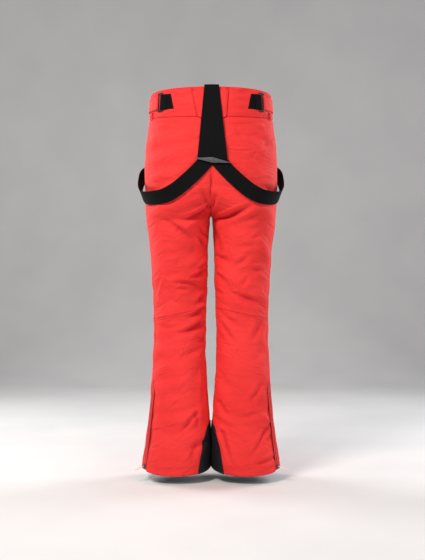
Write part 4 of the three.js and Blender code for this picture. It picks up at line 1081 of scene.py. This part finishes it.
def wrapped_path(direction, far, end_stand):
    """From the strap's far end, along the band, round its bar and back on itself."""
    turn = np.linspace(-0.5 * math.pi, 0.55 * math.pi, 9)
    bar_run = BAR_AWAY * direction - 2.3 * direction * np.cos(turn)
    bar_stand = RING_LIFT + 2.3 * np.sin(turn)
    lie = np.linspace(far, direction * (BAR_AWAY + 5), 14)
    back_run = direction * np.array([BAR_AWAY + 5, BAR_AWAY + 10, BAR_AWAY + 15, BAR_AWAY + 16.5])
    run = np.concatenate([lie, bar_run, back_run])
    stand = np.concatenate([np.full(14, end_stand), bar_stand, [5.0, 3.8, 3.1, 2.9]])
    return run, stand


for name, side in SIDES:
    half = np.linspace(-1, 1, 13)
    run, stand = wrapped_path(-1, -36.0, 1.2)
    slant = smoothstep(-18, -36, run)[:, None] * (5.5 - 5.5 * half)[None, :] * -1
    z = RING_Z + 21 * half[None, :] + 0 * run[:, None]
    grid = from_ring(side, run[:, None] + slant, stand[:, None] + 0 * z, z)
    flap = sheet_piece(f"hook_strip_{name}", grid[:, ::-side], 1.4, black_elastic)
    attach(flap, f"adjuster_flap_{name}")
    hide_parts(f"adjuster_flap_{name}")
    run, stand = wrapped_path(1, 118.0, 2.2)
    height = np.interp(run, [10, 118], [19, 16])
    z = RING_Z + height[:, None] * half[None, :]
    grid = from_ring(side, run[:, None] + 0 * z, stand[:, None] + 0 * z, z)
    tab = sheet_piece(f"side_tab_{name}", grid[:, ::side], 2.4, shell_twill)
    on_root(tab, "shell_fabric", f"adjuster_tab_{name}")

# %% [markdown]
# ## Belt loops
# A small loop of folded shell cloth arches over the seam under each side tab.

# %% Belt loops
for name, side in SIDES:
    rise = np.array([-11, -10, -7, -3, 0, 3, 7, 10, 11])
    arch = np.array([0.9, 1.4, 3.6, 4.5, 4.7, 4.5, 3.6, 1.4, 0.9])
    wide = np.linspace(-4.5, 4.5, 7)
    y, z = -50 + wide[None, :] + 0 * rise[:, None], -63 + rise[:, None] + 0 * wide
    grid = on_side(side, y, z, arch[:, None] + 0 * wide)
    loop = sheet_piece(f"belt_loop_cloth_{name}", grid[:, ::side], 1.5, shell_twill)
    on_root(loop, "shell_fabric", f"belt_loop_{name}")

# %% [markdown]
# ## Braces
# Two elastics come over the back of the waistband and spread down to the junction.
# From there a side elastic lies on the seat, leaves the body at the hip, where it
# leans outwards as it hangs, and climbs straight up the front to the waist's edge.
# The points of each route are those of the frame's own elastics.

# %% Braces
STRAP_HALF = 20
JUNCTION_X, JUNCTION_Z = 4, -194
LAYER = (1.1, 3.1, 5.0)


def over_edge(edge, outside, inside, lift):
    """Half a turn over the waist's edge, from outside to inside."""
    turn = np.radians([0, 36, 72, 108, 144, 180])
    middle, reach = (outside + inside) / 2, (outside - inside) / 2
    return [(middle + reach * c, edge - 1 + lift * s) for c, s in zip(np.cos(turn), np.sin(turn))]


def ribbon(path, across, half=STRAP_HALF, cup=0.5):
    """Grid of a strap: the path, and across it a slight hollow of cup mm."""
    shares = np.linspace(-1, 1, 15)
    along = unit(np.gradient(path, axis=0))
    out = unit(np.cross(across, along))
    hollow = cup * (shares**2 - 0.5)
    sideways = across[:, None] * (shares * half)[None, :, None]
    return path[:, None] + sideways + out[:, None] * hollow[None, :, None]


for layer, (name, side) in enumerate(SIDES):
    edge = 0.06 * 114
    outside, inside = LAYER[layer + 1], -5.6 - LAYER[layer] - 1.6
    turn = over_edge(edge, outside, inside, 3 + 1.4 * layer * 2.0)[::-1]
    foot = JUNCTION_X + side * 20.3
    stations = [(inside, -40 + 5 * layer), (inside, -22), *turn]
    stations += [(outside, z) for z in (-22, -60, -100, -145, JUNCTION_Z)]
    stand, z = np.array(stations).T
    x = np.where(stand < 0, 2, np.interp(-np.minimum(z, edge), [-edge, -JUNCTION_Z], [2, foot]))
    route = np.stack([x, -(section(z)[3] + stand), z], axis=-1)
    path = smooth_path(route, 6)
    grid = ribbon(path, np.tile([1.0, 0, 0], (len(path), 1)), cup=0.25)
    strap = sheet_piece(f"back_elastic_{name}", grid, 1.5, black_elastic)
    on_root(strap, "elastic_webbing", f"back_strap_{name}")

STRAIGHT_LIFT, STRAP_LEAN, STRAP_END = 4.5, 0.55, 92
for name, side in SIDES:
    back = [(18, -198, 1.1), (44, -226, 3), (72, -252, 5), (100, -274, 8), (128, -288, 12)]
    around = [(-80, -289, 13), (-42, -274, 13.5), (0, -248, 13), (40, -219, 14), (76, -190, 13)]
    hidden = on_face(-1, side * 7 + JUNCTION_X, -186, 0.9 + 0.65 * side)
    hip = [on_face(-1, side * x + JUNCTION_X, z, lift) for x, z, lift in back]
    hip += [on_side(side, y, z, lift) for y, z, lift in around]
    hip.append(on_face(1, side * 152, -160, 9))
    low = on_face(1, side * 130, -128, STRAIGHT_LIFT)
    high = on_face(1, side * STRAP_END, -24, STRAIGHT_LIFT)
    straight = [low, low + 0.12 * (high - low), low + 0.88 * (high - low), high]
    inside = -5.6 - 5.4
    turned = over_edge(-0.06 * 99 * 0.87, 3, inside, 3.4)
    waist = [on_face(1, side * STRAP_END, z, lift) for lift, z in turned]
    waist += [on_face(1, side * STRAP_END, z, inside) for z in (-20, -38)]
    steps = 6
    path = smooth_path([hidden, *hip, *straight, *waist], steps)
    first, last = steps * (len(hip) + 1), steps * (len(hip) + 4)
    along = unit(np.gradient(path, axis=0))
    facing = level_out(side, path)
    share = np.minimum(np.arange(len(path)), first - np.arange(len(path))) / first
    facing[:, 2] = -STRAP_LEAN * np.sin(math.pi * np.clip(share, 0, 1)) ** 4
    across = unit(np.cross(along, facing))
    up = unit(high - low)
    out = level_out(side, (low + high) / 2)
    out = unit(out - out.dot(up) * up)
    squared = np.cross(up, out)
    level = -np.cross(level_out(side, high), [0, 0, 1.0])
    across[first : last + 1] = squared
    across[last + 1 :] = level
    grid = ribbon(path, across)
    strap = sheet_piece(f"side_elastic_{name}", grid, 1.5, black_elastic)
    on_root(strap, "elastic_webbing", f"side_strap_{name}")

# %% [markdown]
# ## Badge and front anchors
# A slim grey diamond of soft rubber covers the junction. It is a low pyramid: height
# falls off in a straight line from its middle to its border, which gives four facets.

# %% Badge and front anchors
a, b = np.linspace(-1, 1, 61)[None, :], np.linspace(-1, 1, 21)[:, None]
upper = np.interp(a, [-1, 0, 1], [-189.0, -187.2, -200.8])
lower = np.interp(a, [-1, 0, 1], [-190.2, -202.0, -202.0])
z = (upper + lower) / 2 + b * (upper - lower) / 2
x = 4 + 47 * a + 0 * b
face_y = 145.3 + 4.5 * (1 - np.abs(a)) * (1 - np.abs(b))
badge = sheet_piece("junction_badge", np.stack([x, -face_y, z], axis=-1), 1.4, grey_rubber)
on_root(badge, "badge", "strap_junction_patch")

for name, side in SIDES:
    x = side * (STRAP_END + np.linspace(-24, 24, 12))[None, :]
    z = np.linspace(-14, -46, 10)[:, None]
    grid = on_face(1, x + 0 * z, z + 0 * x, -6.4)
    anchor = sheet_piece(f"front_anchor_{name}", grid[:, ::-side], 1.0, black_elastic)
    on_root(anchor, "elastic_webbing", f"front_tab_{name}")
# %% [markdown]
# ## Thread
# A row of stitches is a line of small thread capsules that lie in the cloth, and a zip
# coil is the same shape repeated across a tape. One helper places any number of them
# at once: each has a few dozen faces at most, because there are hundreds.

# %% Thread capsules


def capsules(name, centres, along, out, length, radius, material, sides=5):
    """Capsules of that length at the centres (mm), each along its own direction. Ring k
    stands at share s_k of the half length and has radius r times sqrt(1 - s_k^6)."""
    along = unit(np.asarray(along, float))
    across = unit(np.cross(along, out))
    third = np.cross(along, across)
    shares = np.array([-1, -0.86, 0, 0.86, 1])
    swell = radius * np.sqrt(1 - shares**6)
    turn = np.linspace(0, 2 * math.pi, sides, endpoint=False)
    ring = across[:, None] * np.cos(turn)[:, None] + third[:, None] * np.sin(turn)[:, None]
    middle = centres[:, None] + along[:, None] * (shares * length / 2)[:, None]
    points = middle[:, :, None] + ring[:, None] * swell[:, None, None]
    one = grid_faces(len(shares), sides, wrap_columns=True)
    count = len(shares) * sides
    faces = (one[None] + count * np.arange(len(centres))[:, None, None]).reshape(-1, 4)
    return close_up(raw_mesh(name, points, faces, None, material), 0.000001)


def evenly(line, pitch):
    """Points every pitch mm along a line of points, with the line's direction there."""
    run = np.concatenate([[0], np.cumsum(np.linalg.norm(np.diff(line, axis=0), axis=1))])
    at = np.arange(pitch, run[-1] - pitch / 2, pitch)
    point = np.stack([np.interp(at, run, line[:, k]) for k in range(3)], axis=-1)
    ahead = np.stack([np.interp(at + 0.5, run, line[:, k]) for k in range(3)], axis=-1)
    return point, ahead - point


STITCH_PITCH, STITCH_LENGTH, STITCH_RADIUS = 3.6, 2.7, 0.42


def stitched(name, lines, material):
    """One object that holds the stitches of several lines, in mm."""
    rows = [evenly(np.asarray(line), STITCH_PITCH) for line in lines]
    centres, along = (np.concatenate(part) for part in zip(*rows))
    out = np.stack([centres[:, 0] * 0.3, centres[:, 1], 0 * centres[:, 2]], axis=-1) + [1e-3, 0, 0]
    made = capsules(name, centres, along, out, STITCH_LENGTH, STITCH_RADIUS, material)
    print(name, len(centres), "stitches")
    return made


# %% [markdown]
# ## Stitch lines
# The side seam, the inseam and the seat seam are topstitched on both sides, the hem
# has two rows, and one more row follows the waistband and the border of each patch.
# Each line is worked out on the folded cloth itself, so that it follows every fold.

# %% Stitch lines of the legs


def side_angle(z, y, inner=False):
    """The angle at which a leg's oval has the depth y: sin t = (y / depth) ^ 1.1."""
    _, _, front, back = section(z)
    share = power(np.clip(y / np.where(np.asarray(y) > 0, front, back), -1, 1), SQUARENESS / 2)
    turn = np.arcsin(share)
    return math.pi - turn if inner else turn


def face_angle(face, z, x):
    """The angle at which the oval is x mm from the centre line: cos t = u ^ 1.1."""
    centre, half, _, _ = section(z)
    return face * np.arccos(power(np.clip((x - centre) / half, -1, 1), SQUARENESS / 2))


def seam_row(side, level, raise_mm):
    """A row of cloth round one leg, a little above a seam that runs round it."""
    angle, z = leg_rows(side, np.array([level + raise_mm], float), 150)
    return cloth(side, z, angle, 0.1)[0]


for name, side in SIDES:
    upper_z, lower_z = np.linspace(-74, -600, 180), np.linspace(-612, -1018, 150)
    zip_free = lower_z[lower_z > -790]
    seat_z, inner_z = np.linspace(-84, -326, 90), np.linspace(-352, -600, 90)
    lines = [cloth(side, upper_z, side_angle(upper_z, side_seam(upper_z) - 5), 0.1)]
    lines.append(cloth(side, seat_z, face_angle(-1, seat_z, 4.5), 0.1))
    lines.append(cloth(side, inner_z, side_angle(inner_z, -6 + 0 * inner_z, inner=True), 0.1))
    pocket_z = np.linspace(-78, -250, 60)
    for away in (-12, 12):
        y = np.interp(-pocket_z, [88, 240], [30, 20]) + away
        lines.append(cloth(side, pocket_z, side_angle(pocket_z, y), 0.1))
    upper = stitched(f"thread_upper_{name}", lines, coral_thread)
    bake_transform(upper)
    lines = [seam_row(side, KNEE_LEVEL, -5), seam_row(side, -1027, 19), seam_row(side, -1027, 23)]
    lines.append(cloth(side, zip_free, side_angle(zip_free, side_seam(zip_free) - 5), 0.1))
    lines.append(cloth(side, lower_z, side_angle(lower_z, -6 + 0 * lower_z, inner=True), 0.1))
    ankle_z = np.linspace(-792, -1002, 70)
    for away in (-13, 13):
        y = np.interp(-ankle_z, [800, 1033], [-39, -45]) + away
        lines.append(cloth(side, ankle_z, side_angle(ankle_z, y), 0.1))
    lower = stitched(f"thread_lower_{name}", lines, coral_thread)
    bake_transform(lower)

# %% [markdown]
# ## Stitch lines of the waistband
# Two rows run round the waistband, and more follow the patch on its back, the fly's
# edge and its curve. The tab's own rows swing with the tab.

# %% Stitch lines of the waistband and its patches
round_waist = np.linspace(0, 2 * math.pi, 420)
band_lines = [band_surface(round_waist, 0 * round_waist + share, 0.5) for share in (0.09, 0.9)]
patch_z = np.linspace(-10, -72, 30)
for at_top, at_bottom in ((-47, -33), (43, 39)):
    band_lines.append(on_face(-1, np.interp(-patch_z, [5.5, 78], [at_top, at_bottom]), patch_z, 2.8))
band_lines.append(on_face(-1, np.linspace(-29, 35, 30), -74.5, 2.8))
fly_z = np.linspace(-68, -186, 50)
band_lines.append(on_face(1, -40 + 0 * fly_z, fly_z, 1.0))
curve = np.linspace(0, math.pi / 2, 30)
band_lines.append(on_face(1, -40 * np.cos(curve) + 3, -186 - 34 * np.sin(curve), 1.0))
tab_lines = [on_face(1, np.linspace(40, -30, 30), z, 2.5) for z in (-17, -45)]
for part, lines, body in (("waist", band_lines, "root"), ("tab", tab_lines, "closure_tab")):
    thread = stitched(f"thread_{part}", lines, coral_thread)
    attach(thread, body)

# %% [markdown]
# ## Zips
# A coil zip is two strips of woven tape with a nylon coil sewn along their meeting
# edges. The strips lie side by side as one grid, and the coil's turns lie across them.
# A real coil has a turn every 0.7 mm; these are 1.5 mm apart so that they can be seen.

# %% Zips
COIL_PITCH, COIL_LENGTH, COIL_RADIUS = 1.5, 4.6, 0.6
TAPE_HALF_WIDTH, TAPE_THICKNESS = 9, 1.0


def zip_frame(start, end, out, sink):
    """A zip's ends, pushed inwards, and its directions across and out."""
    up = unit(start - end)
    out = unit(out - out.dot(up) * up)
    return start - sink * out, end - sink * out, np.cross(up, out), out


def make_zip(name, start, end, out, sink, body):
    """Tape and coil of one closed zip, both on one body; stands for the tape's node."""
    top, bottom, across, out = zip_frame(start, end, out, sink)
    v = spaced(60)[:, None, None]
    u = np.linspace(-TAPE_HALF_WIDTH, TAPE_HALF_WIDTH, 15)[None, :, None]
    grid = top + v * (bottom - top) + u * across
    tape = sheet_piece(f"tape_{name}", grid, TAPE_THICKNESS, zip_polyester)
    line = np.stack([top, bottom]) + out
    centres, _ = evenly(line, COIL_PITCH)
    turns = np.tile(across, (len(centres), 1))
    coil = capsules(f"coil_{name}", centres, turns, out, COIL_LENGTH, COIL_RADIUS, red_nylon)
    for piece in (tape, coil):
        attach(piece, body)
    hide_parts(f"{name.split('_')[0]}_zip_tape" + name[len(name.split('_')[0]) :])
    print("zip", name, round(float(np.linalg.norm(top - bottom))), "mm")
    return tape


make_zip("fly", on_face(1, 0, -57), on_face(1, 0, -205), np.array([0, 1.0, 0]), 1.4, "root")
for name, side in SIDES:
    for part, body, places, sink in (
        ("pocket", "root", POCKET_ZIP, 0.6),
        ("hem", f"shin_{name}", ((-39, -800), (-45, -1032.65)), 1.2),
    ):
        start, end = (on_side(side, *place) for place in places)
        make_zip(f"{part}_{name}", start, end, level_out(side, (start + end) / 2), sink, body)

# %% [markdown]
# ## Scuff guards
# Ski boots and edges rub the inside of each ankle, so a patch of coated black nylon is
# sewn over the shell there. It is narrow at its top and widens down to the hem.

# %% Scuff guards
GUARD_TOP, GUARD_HALF_TOP = 122, 22
GUARD_BACK, GUARD_FRONT = 75, 60  # half widths at the hem
for name, side in SIDES:
    v, u = spaced(44)[:, None], np.linspace(-1, 1, 46)[None, :]
    half_hem = np.where(u < 0, GUARD_BACK, GUARD_FRONT)
    y = u * (GUARD_HALF_TOP + (half_hem - GUARD_HALF_TOP) * v**0.33)
    hem_z = -1027.6 + 0.17 * y
    z = hem_z + (1 - v) * (GUARD_TOP - 0.17 * y - 5 * u**4)
    grid = cloth(side, z, side_angle(z, y, inner=True), 0.9)
    grid = keep_to_side(grid, side, 0.2)
    guard = sheet_piece(f"ankle_guard_{name}", grid[:, ::side], 1.8, guard_nylon)
    edge = [grid[3:-1, 3], grid[3:-1, -4], grid[3, 3:-3], grid[-4, 3:-3]]
    seam = stitched(f"thread_guard_{name}", [e + [-side * 1.0, 0, 0] for e in edge], black_thread)
    for piece in (guard, seam):
        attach(piece, f"shin_{name}")
    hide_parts(f"scuff_guard_{name}")

# %% [markdown]
# ## Gaiters
# A sleeve of ripstop hangs inside each hem and grips the boot with an elastic edge, so
# it narrows a little at the bottom and its hem is gathered in small even waves.

# %% Gaiters
for name, side in SIDES:
    v, angle = spaced(40)[:, None], np.linspace(0, 2 * math.pi, 241)[None, :]
    flat, _ = oval(side, -1000.0, angle)
    z = -1027 + 0.17 * flat[..., 1] + 147 - v * 149.5
    point, out = oval(side, z, angle)
    gather = 0.8 * np.sin(45 * angle) * smoothstep(0.8, 0.97, v)
    grid = point + out * (-13.5 + 2.5 * smoothstep(0.85, 1, v) + gather)[..., None]
    grid[:, -1] = grid[:, 0]
    sleeve = sheet_piece(f"boot_sleeve_{name}", grid[:, ::-side], 0.9, gaiter_ripstop, ring=True)
    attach(sleeve, f"shin_{name}")
    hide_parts(f"gaiter_{name}")

# %% [markdown]
# ## Pocket bags and fly guard
# Behind each pocket zip hangs a flat bag of lining, and behind the fly a guard of shell
# cloth keeps the wind out. Both lie close under the shell and are seen from inside.

# %% Pocket bags and fly guard
for name, side in SIDES:
    v, u = spaced(40)[:, None], spaced(24)[None, :]
    z = -84 + v * (-284 + 84) + 14 * v * (1 - u)
    y = 8 + 6 * v + u * (56 + 14 * v)
    grid = on_side(side, y, z, -7.2)
    bag = sheet_piece(f"pocket_lining_{name}", grid[:, ::side], 1.6, lining_tricot)
    on_root(bag, "lining", f"pocket_bag_{name}")
v, u = spaced(30)[:, None], spaced(16)[None, :]
guard_x = -16 - 16 * (1 - v) + u * (30 + 16 * (1 - v))
grid = on_face(1, guard_x, -60 - 156 * v, -7.5)
wind_guard = sheet_piece("fly_wind_guard", grid[:, ::-1], 1.6, shell_twill)
on_root(wind_guard, "shell_fabric", "fly_guard")

# %% [markdown]
# ## Fittings kept from the frame
# The rings, slides, zip sliders, pullers and the snap already have their true shapes in
# the frame. They only need their finishes: acetal, zinc and rubber.

# %% Fittings kept from the frame


def finish_node(node, material):
    """Give a kept node of the frame one finish all over."""
    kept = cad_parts[node].data.materials
    kept.clear()
    kept.append(material)


for name, side in SIDES:
    for node in (f"adjuster_ring_{name}", f"strap_adjuster_{name}"):
        finish_node(node, black_acetal)
    for part in ("pocket", "hem"):
        finish_node(f"{part}_slider_{name}", dark_zinc)
    finish_node(f"pocket_puller_{name}", red_rubber)
    finish_node(f"hem_puller_{name}", pale_rubber)
for node, material in (
    ("fly_slider", dark_zinc),
    ("fly_puller", red_rubber),
    ("snap_cap", dark_zinc),
    ("snap_stud", dark_zinc),
):
    finish_node(node, material)

# %% [markdown]
# ## The cut sizes
# Every piece of cloth was cut flat. Its flat size is the longest run across and down
# its grid, and its area is the sum of the grid's cells, so nothing has been stretched.

# %% The cut sizes


# %% [markdown]

# %%
FLOOR_GAP, FLOOR_NEAR, FLOOR_HALF_WIDTH = 0.02, -6, 6
BEND_START, BEND_RADIUS, WALL_TOP = 2.2, 1.2, 6
low_z = cad_low.z - FLOOR_GAP


def sweep():
    """A floor that curves up into a backdrop: flat, a quarter circle, then upright."""
    turn = np.linspace(0, math.pi / 2, 24)
    bend_y = BEND_START + BEND_RADIUS * np.sin(turn)
    bend_z = BEND_RADIUS - BEND_RADIUS * np.cos(turn)
    y = np.concatenate([[FLOOR_NEAR], bend_y, [BEND_START + BEND_RADIUS]]) * 1000
    z = np.concatenate([[0], bend_z, [WALL_TOP]]) * 1000 + low_z * 1000
    x = np.array([-1, 0, 1]) * FLOOR_HALF_WIDTH * 1000
    grid = np.stack(np.broadcast_arrays(x[None, :], y[:, None], z[:, None]), axis=-1)
    return cloth_grid("backdrop", grid, None)


paper, tree = new_finish("matt paper, pale grey")
fibre = add(tree, "TexNoise", {"Vector": add(tree, "TexCoord").outputs["Object"], "Scale": 3.0})
shade(tree, Base_Color=two_tones(tree, fibre.outputs["Fac"], "D9D9DA", "E0E0E0"), Roughness=0.9)
backdrop = sweep()
backdrop.data.materials.append(paper)
backdrop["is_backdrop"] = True

# %% [markdown]
# ## Lights
# A warm key from the upper left models the folds, a large fill opens its shadows, and
# two rim lights behind draw the edges. A dim, slightly blue world lights the rest.

# %% Lights


def soft_box(name, place, aim, size, watts, tint="FFFFFF"):
    """A square soft light that points from place to aim."""
    data = bpy.data.lights.new(name, "AREA")
    data.shape, data.size, data.energy = "SQUARE", size, watts
    data.color = linear(tint)[:3]
    lamp = bpy.data.objects.new(name, data)
    bpy.context.scene.collection.objects.link(lamp)
    lamp.location = place
    lamp.rotation_euler = (Vector(aim) - Vector(place)).to_track_quat("-Z", "Y").to_euler()


MIDDLE = (0, 0, -0.5)
soft_box("key", (-1.2, -1.9, 1.5), MIDDLE, 0.8, 72, "FFF8EE")
soft_box("fill", (1.9, -2.2, 0.3), MIDDLE, 1.8, 20)
soft_box("rim_left", (-1.6, 0.9, 0.3), MIDDLE, 0.9, 26)
soft_box("rim_right", (1.6, 0.9, 0.3), MIDDLE, 0.9, 26)
world = bpy.data.worlds.new("studio")
bpy.context.scene.world = world
world.use_nodes = True
world.node_tree.nodes["Background"].inputs["Color"].default_value = linear("DDE0E6")
world.node_tree.nodes["Background"].inputs["Strength"].default_value = 0.3

# %% [markdown]
# ## Sizes
# The box of what is seen is worked out.

# %% Sizes and finish
low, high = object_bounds()
